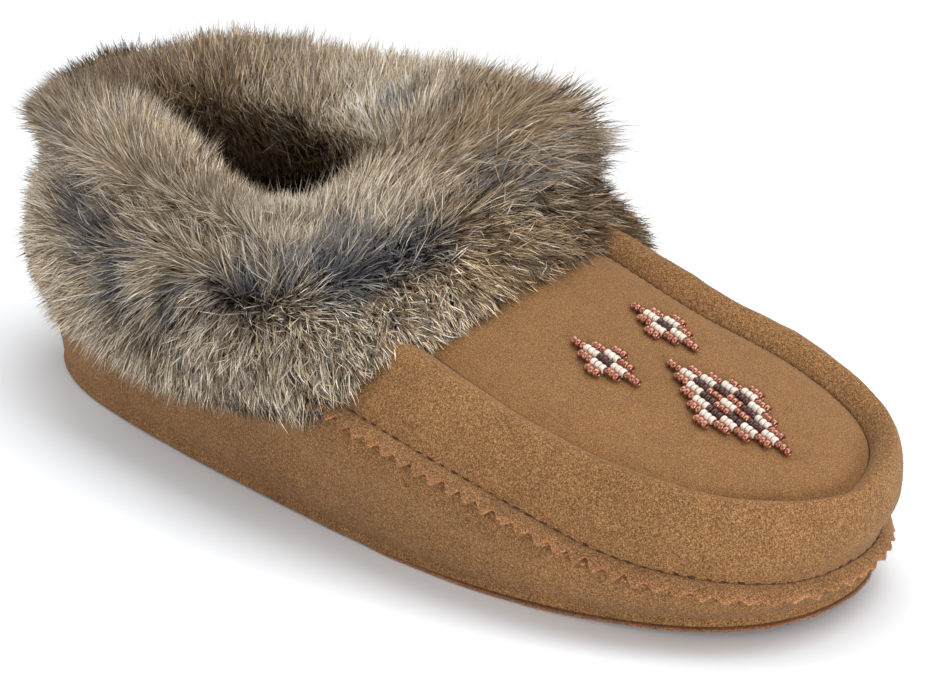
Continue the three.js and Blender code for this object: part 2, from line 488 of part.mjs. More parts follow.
// Loop of the opening: collar rim round the heel and the plug's rear edge.
const OPEN_CENTRE = [62, 0];
function openingLoop() {
  const line = [], t0 = tOf(THROAT);
  for (let i = -90; i <= 90; i++) {
    const u = (i / 90) * t0 / 2;
    const p = rimPlan(u);
    line.push([p[0], p[1], rimUp(u)]);
  }
  // line runs medial throat corner -> heel -> lateral throat corner; close across the plug
  const a = line[line.length - 1], b = line[0];
  for (let i = 1; i < 30; i++) {
    const q = i / 30, y = mix(a[1], b[1], q), x = mix(a[0], b[0], q);
    line.push([x, y, vampUp(x, y)]);
  }
  return line;
}
function cuffBody() {
  const loop = openingLoop(), samples = bodySamples();
  const cols = {};
  for (const k of Object.keys(CUFF[0])) if (k !== 'turn') cols[k] = through(CUFF.map((r) => r.turn), CUFF.map((r) => r[k]));
  const run = [0];
  for (let i = 1; i <= loop.length; i++) {
    const a = loop[i - 1], b = loop[i % loop.length];
    run.push(run[i - 1] + Math.hypot(a[0] - b[0], a[1] - b[1]));
  }
  const total = run[run.length - 1];
  const at = (d) => {
    const w = ((d % total) + total) % total;
    let i = 0;
    while (run[i + 1] < w) i++;
    const q = (w - run[i]) / (run[i + 1] - run[i]), a = loop[i], b = loop[(i + 1) % loop.length];
    return a.map((v, k) => mix(v, b[k], q));
  };
  const soft = (d) => {            // rounds the throat's corners
    const s = [0, 0, 0];
    let n = 0;
    for (let k = -8; k <= 8; k++) { const w = 1 - Math.abs(k) / 9, p = at(d + k * 1.5); for (let i = 0; i < 3; i++) s[i] += p[i] * w; n += w; }
    return s.map((v) => v / n);
  };
  const evened = (rings, passes) => {     // moving average round the opening
    let now = rings;
    for (let pass = 0; pass < passes; pass++) {
      const was = now, n = was.length;
      now = was.map((s, i) => s.map((p, j) => p.map((v, k) => 0.25 * was[(i + n - 1) % n][j][k] + 0.5 * v + 0.25 * was[(i + 1) % n][j][k])));
    }
    return now;
  };
  const frames = [];
  for (let i = 0; i < CUFF_ROUND; i++) {
    const d = (i / CUFF_ROUND) * total, p = soft(d), a = soft(d - 1.5), b = soft(d + 1.5);
    const l = Math.hypot(b[0] - a[0], b[1] - a[1]);
    let n = [(b[1] - a[1]) / l, -(b[0] - a[0]) / l];
    if (n[0] * (p[0] - OPEN_CENTRE[0]) + n[1] * (p[1] - OPEN_CENTRE[1]) < 0) n = [-n[0], -n[1]];
    const turn = Math.atan2(p[1] - OPEN_CENTRE[1], p[0] - OPEN_CENTRE[0]) * 180 / Math.PI;
    frames.push({ p, n, turn, c: Object.fromEntries(Object.entries(cols).map(([k, f]) => [k, f(turn)])) });
  }
  // places on the body from the rim (0) to the lower edge (1)
  const alongs = (c) => [1, ...[...CUFF_DEPTH].reverse().map((r) => r.along), c.wall, mix(c.wall, 1, 0.5)];
  const bases = evened(frames.map(({ p, c }) => alongs(c).map((w) => onBody(samples, p.map((v, k) => mix(v, [c.lowX, c.lowY, c.lowZ][k], w))).p)), 4);
  const lifted = evened(frames.map(({ c }, i) => bases[i].map((q, j) => {
    const s = onBody(samples, q), part = j > 0 && j <= CUFF_DEPTH.length ? CUFF_DEPTH[CUFF_DEPTH.length - j].part * c.deep : -WALL / 2;
    return s.p.map((v, k) => v + s.n[k] * part + (k ? 0 : c.lead * (CUFF_AHEAD[j] ?? 0)));
  })), 1);
  const tops = evened(frames.map(({ p, n, c }) => {
    const put = (o, z, ahead = 1) => [p[0] + n[0] * o + c.lead * ahead, p[1] + n[1] * o, z];
    return [put(c.shoulderO, c.shoulderZ), put(mix(c.ridgeO, c.shoulderO, 0.5), mix(c.ridgeZ, c.shoulderZ, 0.24)),
      put(c.ridgeO - 1.5, c.ridgeZ), put(mix(c.ridgeO, -c.innerO, 0.7), mix(c.ridgeZ, c.innerZ, 0.35), 0.45),
      put(-c.innerO, c.innerZ, 0), put(-mix(c.innerO, c.hemO, 0.5), mix(c.innerZ, c.hemZ, 0.5), 0), put(-c.hemO, c.hemZ, 0)];
  }), 2);
  const outer = CUFF_DEPTH.length + 1;
  // the crease between the lower fur and its shoulder fades on the swept front
  // and down the inner side
  frames.forEach(({ c, turn }, i) => {
    const k = outer - 1, full = Math.max(ramp(0, 5, c.lead), 0.7 * ramp(0, 30, turn) * (1 - ramp(120, 170, turn)));
    lifted[i][k] = lifted[i][k].map((v, a) => mix(v, (lifted[i][k - 1][a] + tops[i][0][a]) / 2, full));
  });
  return frames.map((_, i) => [...lifted[i].slice(0, outer), ...tops[i], ...lifted[i].slice(outer)]);
}
// Triangles across one section, from the outer points to the inner ones.
const CUFF_CAP = [[0, 1, 13], [1, 2, 13], [2, 3, 13], [3, 12, 13], [3, 4, 12], [4, 11, 12],
  [4, 5, 11], [5, 10, 11], [5, 6, 10], [6, 9, 10], [6, 7, 9], [7, 8, 9]];
// The cuff is joined from wedges, one between each two neighbouring sections,
// so that the tight inner corners of the throat close cleanly.
function wedges(sections) {
  const out = [], n = sections.length;
  for (let i = 0; i < n; i++) {
    const a = sections[i], b = sections[(i + 1) % n], m = a.length, pos = [...a, ...b].flat(), tri = [];
    for (let j = 0; j < m; j++) { const k = (j + 1) % m; tri.push(j, m + j, m + k, j, m + k, k); }
    const flip = (t, o, rev) => (rev ? tri.push(t[0] + o, t[2] + o, t[1] + o) : tri.push(t[0] + o, t[1] + o, t[2] + o));
    for (const t of CUFF_CAP) { flip(t, 0, false); flip(t, m, true); }
    out.push(facingOut({ pos, tri }));
  }
  return out;
}
// A beaded diamond: cells of three beads, laid on the plug.
function beadSolid(cx, cy, reach, turn) {
  const pos = [], tri = [], seen = new Map(), c = Math.cos(turn), s = Math.sin(turn);
  const inside = (i, j) => Math.abs(i) + Math.abs(j) <= reach;
  const vert = (i, j, high) => {
    const key = `${i},${j},${high}`;
    if (!seen.has(key)) {
      const a = i * 3 * BEAD, b = j * BEAD_ROW, x = cx + a * c - b * s, y = cy + a * s + b * c;
      pos.push(x, y, vampUp(x, y) + GAP + (high ? BEAD_HIGH : 0));
      seen.set(key, pos.length / 3 - 1);
    }
    return seen.get(key);
  };
  for (let i = -reach; i <= reach; i++) for (let j = -reach; j <= reach; j++) {
    if (!inside(i, j)) continue;
    const q = [[-0.5, -0.5], [0.5, -0.5], [0.5, 0.5], [-0.5, 0.5]].map(([a, b]) => [i + a, j + b]);
    const t = q.map(([a, b]) => vert(a, b, true)), b = q.map(([a, d]) => vert(a, d, false));
    tri.push(t[0], t[1], t[2], t[0], t[2], t[3], b[0], b[2], b[1], b[0], b[3], b[2]);
    [[0, -1], [1, 0], [0, 1], [-1, 0]].forEach(([di, dj], k) => {
      if (inside(i + di, j + dj)) return;
      const n = (k + 1) % 4;
      tri.push(b[k], b[n], t[n], b[k], t[n], t[k]);
    });
  }
  return facingOut({ pos, tri });
}

// ---------------------------------------------------------------- assembly
const wasm = await Module();
wasm.setup();
const solid = ({ pos, tri }) => new wasm.Manifold(new wasm.Mesh({
  numProp: 3, vertProperties: new Float32Array(pos), triVerts: new Uint32Array(tri),
}));
const back = (m) => {
  const g = m.getMesh(), pos = [];
  for (let i = 0; i < g.vertProperties.length; i += g.numProp) pos.push(g.vertProperties[i], g.vertProperties[i + 1], g.vertProperties[i + 2]);
  return { pos, tri: [...g.triVerts] };
};

const upper = upperSolid(0), plug = plugSolid(0), flange = flangeSolid(0);
// Short lengths of a lofted shape as hulls, grown by clear: they clear the cuff
// where the wall twists at the throat's corners, and along the teeth.
function hullsAlong({ pos }, m, rows, spans, clear) {
  return wasm.Manifold.union(spans.map(([from, to]) => {
    const line = [];
    for (let i = from; i <= to; i++) for (const j of rows) {
      const k = ((i * m) % (pos.length / 3) + j) * 3;
      for (let c = 0; c < 8; c++) line.push([0, 1, 2].map((b) => pos[k + b] + ((c >> b) & 1 ? clear : -clear)));
    }
    return wasm.Manifold.hull(line);
  }));
}
const wallTop = RISE.reduce((a, b) => a + b), wallRing = wallTop + RISE_IN.reduce((a, b) => a + b) + 2;
const throatSpans = [], teethSpans = [];
for (let i = 0; i < ROUND; i++) {
  const s = sOf(side((i + 0.5) / ROUND).t);
  if (s > 98 && s < 150) throatSpans.push([i, i + 1]);
}
const teeth = flange.pos.length / 12;
for (let i = 0; i < 30; i += 5) teethSpans.push([i, i + 5], [teeth - 6 - i, teeth - 1 - i]);
const cut = wasm.Manifold.union(wedges(cuffBody()).map(solid))
  .subtract(solid(plugSolid(CUT)))
  .subtract(solid(upperSolid(CUT)))
  .subtract(hullsAlong(upper, wallRing, [wallTop - 1, wallTop, wallTop + 1, wallTop + 2], throatSpans, 0.3))
  .subtract(hullsAlong(flange, 4, [0, 1, 2, 3], teethSpans, 0.3));
const cuff = back(cut.decompose().sort((a, b) => b.volume() - a.volume())[0]);

const SUEDE = { color: 0xa9794c, roughness: 0.95, metalness: 0 };
const finishes = {
  outsole: { color: 0x8e5f42, roughness: 0.95, metalness: 0 },
  insole: { color: 0x8a6a4a, roughness: 1.0, metalness: 0 },
  upper: SUEDE,
  vamp_plug: SUEDE,
  pinked_seam: { color: 0xb0805a, roughness: 0.95, metalness: 0 },
  fur_cuff: { color: 0x8f7f69, roughness: 1.0, metalness: 0 },
  beads: { color: 0x9c5a44, roughness: 0.3, metalness: 0.4 },
};
const pieces = {
  outsole: outsoleSolid(),
  insole: insoleSolid(),
  upper,
  vamp_plug: plug,
  pinked_seam: flange,
  fur_cuff: cuff,
  beads_large: beadSolid(219.0, 0.65, 4, -0.050),
  beads_small_lateral: beadSolid(190.7, -9.26, 2, -0.036),
  beads_small_medial: beadSolid(190.7, 11.07, 2, -0.038),
};

// Origin at the middle of the footprint box, on the floor.
const box = new THREE.Box3();
for (const { pos } of Object.values(pieces)) for (let i = 0; i < pos.length; i += 3) box.expandByPoint(new THREE.Vector3(pos[i], pos[i + 1], pos[i + 2]));
const group = new THREE.Group();
group.position.set(-(box.min.x + box.max.x) / 2, -(box.min.y + box.max.y) / 2, -box.min.z);
for (const [name, { pos, tri }] of Object.entries(pieces)) {
  const g = new THREE.BufferGeometry();
  g.setAttribute('position', new THREE.BufferAttribute(new Float32Array(pos), 3));
  g.setIndex(tri);
  g.computeVertexNormals();
  const key = name.startsWith('beads') ? 'beads' : name;
  const mesh = new THREE.Mesh(g, new THREE.MeshStandardMaterial(finishes[key]));
  mesh.name = name;
  group.add(mesh);
}
export default group;
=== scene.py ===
"""Fur-cuffed moccasin slipper, right shoe: the looks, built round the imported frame.

Design frame in mm: heel at x = 0, toe at +X, inner (big-toe) side at +Y, sole on z = 0.
The body, plug, seam and cuff surfaces come from the same named sections as the solids.
"""
import math

import bpy
import numpy as np
from mathutils import Matrix, Vector
from mathutils.kdtree import KDTree


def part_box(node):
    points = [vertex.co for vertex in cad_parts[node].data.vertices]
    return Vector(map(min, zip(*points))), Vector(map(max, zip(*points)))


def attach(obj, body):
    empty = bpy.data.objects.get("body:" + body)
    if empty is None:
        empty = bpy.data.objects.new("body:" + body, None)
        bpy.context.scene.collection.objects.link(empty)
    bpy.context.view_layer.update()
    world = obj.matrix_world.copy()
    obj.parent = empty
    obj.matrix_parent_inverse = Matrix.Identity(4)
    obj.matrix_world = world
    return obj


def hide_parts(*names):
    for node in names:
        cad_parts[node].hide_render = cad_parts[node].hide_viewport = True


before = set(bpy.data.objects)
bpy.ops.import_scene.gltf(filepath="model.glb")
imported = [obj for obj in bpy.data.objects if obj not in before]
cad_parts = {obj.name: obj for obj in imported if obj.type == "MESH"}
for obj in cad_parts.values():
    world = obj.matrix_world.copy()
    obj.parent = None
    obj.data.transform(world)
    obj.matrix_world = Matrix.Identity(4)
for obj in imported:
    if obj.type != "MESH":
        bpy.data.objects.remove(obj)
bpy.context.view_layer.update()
RNG = np.random.default_rng(20)

# ---------------------------------------------------------------- sizes
LENGTH, SOLE, SPRING, SPRING_FROM = 252.0, 2.8, 2.6, 182.0
WALL, GAP, EDGE_IN, INSOLE = 2.0, 0.3, 0.8, 4.0
THROAT, DIP, DIP_WIDTH = 110.0, 0.9, 5.0
FLANGE, TOOTH, TOOTH_PITCH, FLANGE_FROM, FLANGE_LOW = 4.3, 1.8, 4.8, 92.0, 0.5
BEAD, BEAD_ROW = 1.40, 2.25

KEYS = ("s", "half", "seamOut", "seamUp", "bulge", "belly", "rimX", "rimY", "rimUp")
LATERAL = [
    (0, 0, 1.0, 40.0, 1.4, 0.6, 6.0, 0, 70.0),
    (10, 21.0, 0.0, 41.0, 1.2, 0.6, 11.0, 12.0, 70.0),
    (30, 31.2, 0.2, 43.0, 1.6, 0.6, 29.0, 21.0, 69.5),
    (70, 38.9, 0.4, 44.5, 2.0, 0.8, 70.0, 26.2, 66.0),
    (113, 43.4, 2.0, 41.5, 2.2, 1.6, 113.0, 28.0, 58.5),
    (156, 46.2, 3.4, 35.0, 2.0, 2.6, 154.0, 31.8, 54.0),
    (186, 44.5, 3.8, 29.0, 1.8, 3.0, 184.0, 33.4, 48.0),
    (217, 37.2, 4.6, 20.0, 1.4, 3.4, 213.5, 30.4, 40.0),
    (239, 26.2, 4.2, 16.0, 1.0, 3.4, 236.0, 22.2, 34.0),
    (252, 0, 2.6, 14.0, 0.8, 3.2, 252.3, -0.6, 30.0),
]
MEDIAL = [
    (0, 0, 1.0, 40.0, 1.4, 0.6, 6.0, 0, 70.0),
    (10, 18.6, 0.6, 41.0, 1.4, 0.6, 11.0, 12.0, 70.0),
    (30, 28.2, 0.2, 43.0, 1.6, 0.6, 29.0, 21.0, 70.0),
    (70, 32.6, 1.2, 44.5, 2.2, 1.0, 70.0, 26.0, 70.0),
    (113, 36.4, 2.4, 42.5, 2.4, 1.8, 113.0, 26.8, 66.0),
    (156, 43.6, 2.6, 35.0, 2.0, 2.4, 156.0, 26.0, 58.0),
    (186, 46.6, 2.2, 27.0, 1.6, 2.8, 186.0, 25.2, 50.0),
    (217, 42.0, 1.8, 19.0, 1.2, 3.2, 215.0, 29.8, 42.0),
    (239, 28.6, 1.6, 14.8, 1.0, 3.4, 237.0, 26.0, 35.0),
    (252, 0, 2.6, 14.0, 0.8, 3.2, 252.3, 0.6, 30.0),
]
ROLL = [(0, 0.9, -4.0), (95, 1.0, -4.0), (135, 4.6, 2.4), (175, 5.0, 3.6), (215, 5.2, 3.8), (252, 5.2, 3.6)]
VAMP = dict(x=190, up=49.0, slope=-0.241, bend=-0.00085, crown=0.0038, tilt=0.111, twist=-0.00067, rear=165)
CUFF_KEYS = ("turn", "lowX", "lowY", "lowZ", "deep", "ridgeO", "ridgeZ", "shoulderO", "shoulderZ", "innerO", "innerZ", "hemO", "hemZ", "wall", "lead")
CUFF = [
    (-180, -4, 0, 26, 8.5, 3.5, 76.8, 13, 69, 8.5, 69, 7, 47, 0.46, 0),
    (-160, 2.6, -16.7, 26.1, 8.4, 3.5, 77, 13.2, 69.3, 8.5, 69.3, 6.7, 47.2, 0.46, 0),
    (-140, 14, -29, 26, 8.5, 3.5, 78, 13.5, 69.5, 8.5, 69, 6, 47, 0.46, 0),
    (-90, 64, -40, 25, 9.5, 2, 77.5, 13, 68, 8, 66, 3, 45, 0.46, 0),
    (-52, 106, -45, 28, 10.5, 1, 74.5, 13, 66, 8, 62, 4, 45, 0.42, 0),
    (-31, 144, -47, 37, 10.5, 1, 74, 13, 67, 8, 62, 6, 46, 0.26, 0),
    (-20, 155, -34, 52, 10, 1, 75, 13, 69, 8, 64, 8, 48, 0.18, 0),
    (0, 157, 0, 57, 9.5, 2, 79, 15, 73.5, 8, 67, 8, 50, 0.16, 1),
    (12, 157.5, 17.2, 60.6, 11.2, 5, 83, 18, 74.5, 8.1, 68.9, 8.3, 50.4, 0.16, 7),
    (24, 154.5, 34, 52.8, 14.1, 9, 87, 22, 75, 7.8, 70.4, 7.3, 49.3, 0.21, 14),
    (31, 150, 43, 42, 16, 13, 87.5, 24, 76, 7.5, 71, 6, 48, 0.26, 14),
    (38, 139.6, 45.1, 35.9, 16.2, 13.5, 86, 23.5, 76, 7.4, 70.9, 5.1, 47.1, 0.32, 7),
    (52, 112, 40, 30, 14.5, 12.5, 83, 22.5, 75, 7.5, 70, 4, 46, 0.42, 0.5),
    (70, 88, 38.1, 26.4, 12.8, 9.5, 82.5, 19.5, 73, 7.7, 69.4, 3.1, 45.7, 0.46, 0),
    (90, 66, 36, 26, 11, 6.5, 82, 17, 73, 8, 69, 3, 46, 0.46, 0),
    (110, 42.9, 34.5, 25.6, 9.9, 5.5, 83, 16, 73, 8.2, 68.9, 3.9, 46.4, 0.46, 0),
    (140, 14, 28, 26, 9, 4, 82, 14.5, 72, 8.5, 69, 6, 47, 0.46, 0),
    (160, 2.4, 16.4, 26, 8.6, 3.8, 79, 13.8, 70, 8.5, 69, 6.7, 47.1, 0.46, 0),
    (180, -4, 0, 26, 8.5, 3.5, 76.8, 13, 69, 8.5, 69, 7, 47, 0.46, 0),
]
CUFF_DEPTH = [(0.34, 1.06), (0.58, 0.98), (0.82, 0.78), (1.0, 0.34)]
CUFF_AHEAD = [0, 0, 0.1, 0.42, 0.85]
CUFF_ROUND = 60
OPEN_CENTRE = (62.0, 0.0)


# ---------------------------------------------------------------- curves
def hermite(w, p, q):
    """w (n, k), p (n, k, 3), q (n, m): the parabola-slope curve through the knots."""
    d = (p[:, 1:] - p[:, :-1]) / (w[:, 1:] - w[:, :-1])[..., None]
    h = (w[:, 1:] - w[:, :-1])[..., None]
    m = np.empty_like(p)
    m[:, 1:-1] = (d[:, :-1] * h[:, 1:] + d[:, 1:] * h[:, :-1]) / (h[:, 1:] + h[:, :-1])
    m[:, 0] = 2 * d[:, 0] - m[:, 1]
    m[:, -1] = 2 * d[:, -1] - m[:, -2]
    i = np.clip((q[..., None] > w[:, None, 1:]).sum(-1), 0, w.shape[1] - 2)
    r = np.arange(len(w))[:, None]
    w0, hh = w[r, i], h[r, i, 0]
    t = np.clip((q - w0) / hh, 0, 1)[..., None]
    hh = hh[..., None]
    t2, t3 = t * t, t * t * t
    return (p[r, i] * (2 * t3 - 3 * t2 + 1) + m[r, i] * hh * (t3 - 2 * t2 + t)
            + p[r, i + 1] * (3 * t2 - 2 * t3) + m[r, i + 1] * hh * (t3 - t2))


def through(x, y):
    x, y = np.asarray(x, float)[None], np.asarray(y, float)[None, :, None]
    return lambda q: hermite(x, y, np.asarray(q, float).reshape(1, -1))[0, :, 0].reshape(np.shape(q))


def mix(a, b, t):
    return a + (b - a) * t


def ramp(a, b, x):
    t = np.clip((x - a) / (b - a), 0, 1)
    return t * t * (3 - 2 * t)


def tOf(s):
    return np.arccos(1 - 2 * np.clip(np.asarray(s, float) / LENGTH, 0, 1)) / np.pi


def sOf(t):
    return LENGTH * (0.5 - 0.5 * np.cos(np.pi * t))


def columns(rows, keys):
    t = [float(tOf(r[0])) for r in rows]
    return {k: through(t, [r[i] for r in rows]) for i, k in enumerate(keys) if i}


LAT, MED = columns(LATERAL, KEYS), columns(MEDIAL, KEYS)
ROLLS = columns(ROLL, ("s", "out", "up"))


def side(u):
    w = np.mod(u, 1.0)
    lat = w <= 0.5
    return np.where(lat, 2 * w, 2 - 2 * w), lat, np.where(lat, -1.0, 1.0)


def val(key, u):
    t, lat, _ = side(u)
    return np.where(lat, LAT[key](t), MED[key](t))


def soleEdge(u):
    t, _, k = side(u)
    return np.stack([sOf(t), k * val("half", u)], -1)


def rimPlan(u):
    _, _, k = side(u)
    return np.stack([val("rimX", u), k * val("rimY", u)], -1)


def outward(curve, u):
    d = 1e-3
    v = curve(u + d) - curve(u - d)
    n = np.hypot(v[..., 0], v[..., 1])
    return np.stack([v[..., 1] / n, -v[..., 0] / n], -1)


def springAt(x):
    return SPRING * np.maximum(0, (x - SPRING_FROM) / (LENGTH - SPRING_FROM)) ** 2


def vampUp(x, y):
    d = x - VAMP["x"]
    tilt = VAMP["tilt"] + VAMP["twist"] * np.maximum(d, VAMP["rear"] - VAMP["x"])
    return VAMP["up"] + VAMP["slope"] * d + VAMP["bend"] * d * d - VAMP["crown"] * y * y + tilt * y


def throatAt(u):
    return ramp(104, 136, sOf(side(u)[0]))


def rimUp(u):
    r = rimPlan(u)
    return mix(val("rimUp", u), vampUp(r[..., 0], r[..., 1]) - DIP, throatAt(u))


def knots(u, padded):
    u = np.atleast_1d(u)
    t, _, _ = side(u)
    e, n = soleEdge(u), outward(soleEdge, u)
    r, q, rz = rimPlan(u), outward(rimPlan, u), rimUp(u)
    foot = SOLE + GAP + springAt(e[:, 0])
    so, su = val("seamOut", u), val("seamUp", u)

    def at(o, z):
        return np.column_stack([e + n * np.broadcast_to(o, u.shape)[:, None], z])

    p0, p2 = at(-EDGE_IN, foot), at(so, su)
    p1 = at(mix(-EDGE_IN, so, 0.5) + val("bulge", u), mix(foot, su, 0.42))
    ro = ROLLS["out"](t)
    ru = ROLLS["up"](t) if padded else np.minimum(ROLLS["up"](t), -0.4)
    p4 = np.column_stack([r + q * ro[:, None], rz + ru])
    p5 = np.column_stack([r, rz])
    c = p4 - p2
    inward = -(c[:, 0] * n[:, 0] + c[:, 1] * n[:, 1])
    ln = np.hypot(inward, c[:, 2])
    b = val("belly", u)
    p3 = p2 + c * 0.52
    p3[:, :2] += n * (b * c[:, 2] / ln)[:, None]
    p3[:, 2] += b * inward / ln
    p = np.stack([p0, p1, p2, p3, p4, p5], 1)
    w = np.concatenate([np.zeros((len(u), 1)), np.cumsum(np.linalg.norm(np.diff(p, axis=1), axis=2), axis=1)], 1)
    return p, w


def sections(u, rise, padded):
    p, w = knots(u, padded)
    cols = []
    for i, k in enumerate(rise):
        for j in range(k):
            cols.append(mix(w[:, i], w[:, i + 1], j / k))
    cols.append(w[:, -1])
    return hermite(w, p, np.stack(cols, 1))


def grid_normals(g, wrap=True):
    a = (np.roll(g, -1, 0) - np.roll(g, 1, 0)) if wrap else np.gradient(g, axis=0)
    b = np.gradient(g, axis=1)
    n = np.cross(a, b)
    return n / np.maximum(np.linalg.norm(n, axis=-1, keepdims=True), 1e-9)


# ---------------------------------------------------------------- noise in mm space
def _hash(i, j, k, seed):
    h = (i * 374761393 + j * 668265263 + k * 2147483647 + seed * 1274126177) & 0xFFFFFFFF
    h = ((h ^ (h >> 13)) * 1274126177) & 0xFFFFFFFF
    return ((h ^ (h >> 16)) & 0xFFFFFF) / float(0xFFFFFF)


def noise(p, size, seed=0):
    """Smooth value noise in -1..1; p (..., 3) in mm, size of a cell in mm."""
    q = np.asarray(p, float) / size + 1000.0
    f = np.floor(q).astype(np.int64)
    t = q - f
    t = t * t * (3 - 2 * t)
    out = 0.0
    for a in (0, 1):
        for b in (0, 1):
            for c in (0, 1):
                wgt = ((t[..., 0] if a else 1 - t[..., 0]) * (t[..., 1] if b else 1 - t[..., 1])
                       * (t[..., 2] if c else 1 - t[..., 2]))
                out = out + wgt * _hash(f[..., 0] + a, f[..., 1] + b, f[..., 2] + c, seed)
    return out * 2 - 1


# ---------------------------------------------------------------- meshes
_plan = soleEdge(np.array([i / 88 for i in range(88)]))
_lo, _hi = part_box("outsole")
OFF = np.array([_lo[0] * 1000 - 0.0, _lo[1] * 1000 - _plan[:, 1].min(), _lo[2] * 1000])


TRIS = {}


def unit(v):
    return v / np.maximum(np.linalg.norm(v, axis=-1, keepdims=True), 1e-9)


def make(name, verts, faces, mats, replaces=(), smooth=True, color=None, mat_index=None, normals=None):
    """A mesh piece in the shared frame from design-frame mm."""
    v = ((np.asarray(verts, float).reshape(-1, 3) + OFF) * 0.001).astype(np.float32)
    f = np.asarray(faces, np.int32)
    me = bpy.data.meshes.new(name)
    me.vertices.add(len(v))
    me.vertices.foreach_set("co", v.ravel())
    me.loops.add(f.size)
    me.loops.foreach_set("vertex_index", f.ravel())
    me.polygons.add(len(f))
    me.polygons.foreach_set("loop_start", np.arange(0, f.size, f.shape[1], dtype=np.int32))
    me.update(calc_edges=True)
    me.polygons.foreach_set("use_smooth", np.full(len(f), bool(smooth)))
    for m in mats:
        me.materials.append(m)
    if mat_index is not None:
        me.polygons.foreach_set("material_index", np.asarray(mat_index, np.int32))
    if color is not None:
        a = me.color_attributes.new(name="Col", type="FLOAT_COLOR", domain="POINT")
        c = np.ones((len(v), 4), np.float32)
        c[:, :3] = color
        a.data.foreach_set("color", c.ravel())
    me.update()
    if normals is not None:
        me.normals_split_custom_set_from_vertices(np.asarray(normals, np.float32).reshape(-1, 3))
    TRIS[name] = int(len(f) * (f.shape[1] - 2))
    o = bpy.data.objects.new(name, me)
    bpy.context.scene.collection.objects.link(o)
    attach(o, "root")
    if replaces:
        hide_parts(*replaces)
    return o


def ring_faces(n, m, closed_m=True, wrap=True):
    """Quads of an n x m grid, wrapped round n and, if asked, round m."""
    i = np.arange(n if wrap else n - 1)
    j = np.arange(m if closed_m else m - 1)
    a, b = np.meshgrid(i, j, indexing="ij")
    a2, b2 = (a + 1) % n, (b + 1) % m
    return np.stack([a * m + b, a2 * m + b, a2 * m + b2, a * m + b2], -1).reshape(-1, 4)


# ---------------------------------------------------------------- materials
def new_mat(name):
    m = bpy.data.materials.new(name)
    m.use_nodes = True
    nt = m.node_tree
    nt.nodes.clear()
    out = nt.nodes.new("ShaderNodeOutputMaterial")
    b = nt.nodes.new("ShaderNodeBsdfPrincipled")
    nt.links.new(b.outputs[0], out.inputs[0])
    return m, nt, b


def tex_noise(nt, coord, scale, detail=2.0, rough=0.5):
    n = nt.nodes.new("ShaderNodeTexNoise")
    n.inputs["Scale"].default_value = scale
    n.inputs["Detail"].default_value = detail
    n.inputs["Roughness"].default_value = rough
    nt.links.new(coord, n.inputs["Vector"])
    return n.outputs["Fac"]


def stops(nt, fac, rows):
    r = nt.nodes.new("ShaderNodeValToRGB")
    e = r.color_ramp.elements
    while len(e) < len(rows):
        e.new(0.5)
    for el, (pos, col) in zip(e, rows):
        el.position = pos
        el.color = (*col, 1)
    nt.links.new(fac, r.inputs[0])
    return r.outputs[0]


def blend_col(nt, kind, fac, a, b):
    m = nt.nodes.new("ShaderNodeMix")
    m.data_type = "RGBA"
    m.blend_type = kind
    if isinstance(fac, float):
        m.inputs[0].default_value = fac
    else:
        nt.links.new(fac, m.inputs[0])
    nt.links.new(a, m.inputs[6])
    nt.links.new(b, m.inputs[7])
    return m.outputs[2]


def lin(r, g, b):
    """sRGB 0-255 to linear."""
    def f(c):
        c /= 255.0
        return c / 12.92 if c <= 0.04045 else ((c + 0.055) / 1.055) ** 2.4
    return (f(r), f(g), f(b))


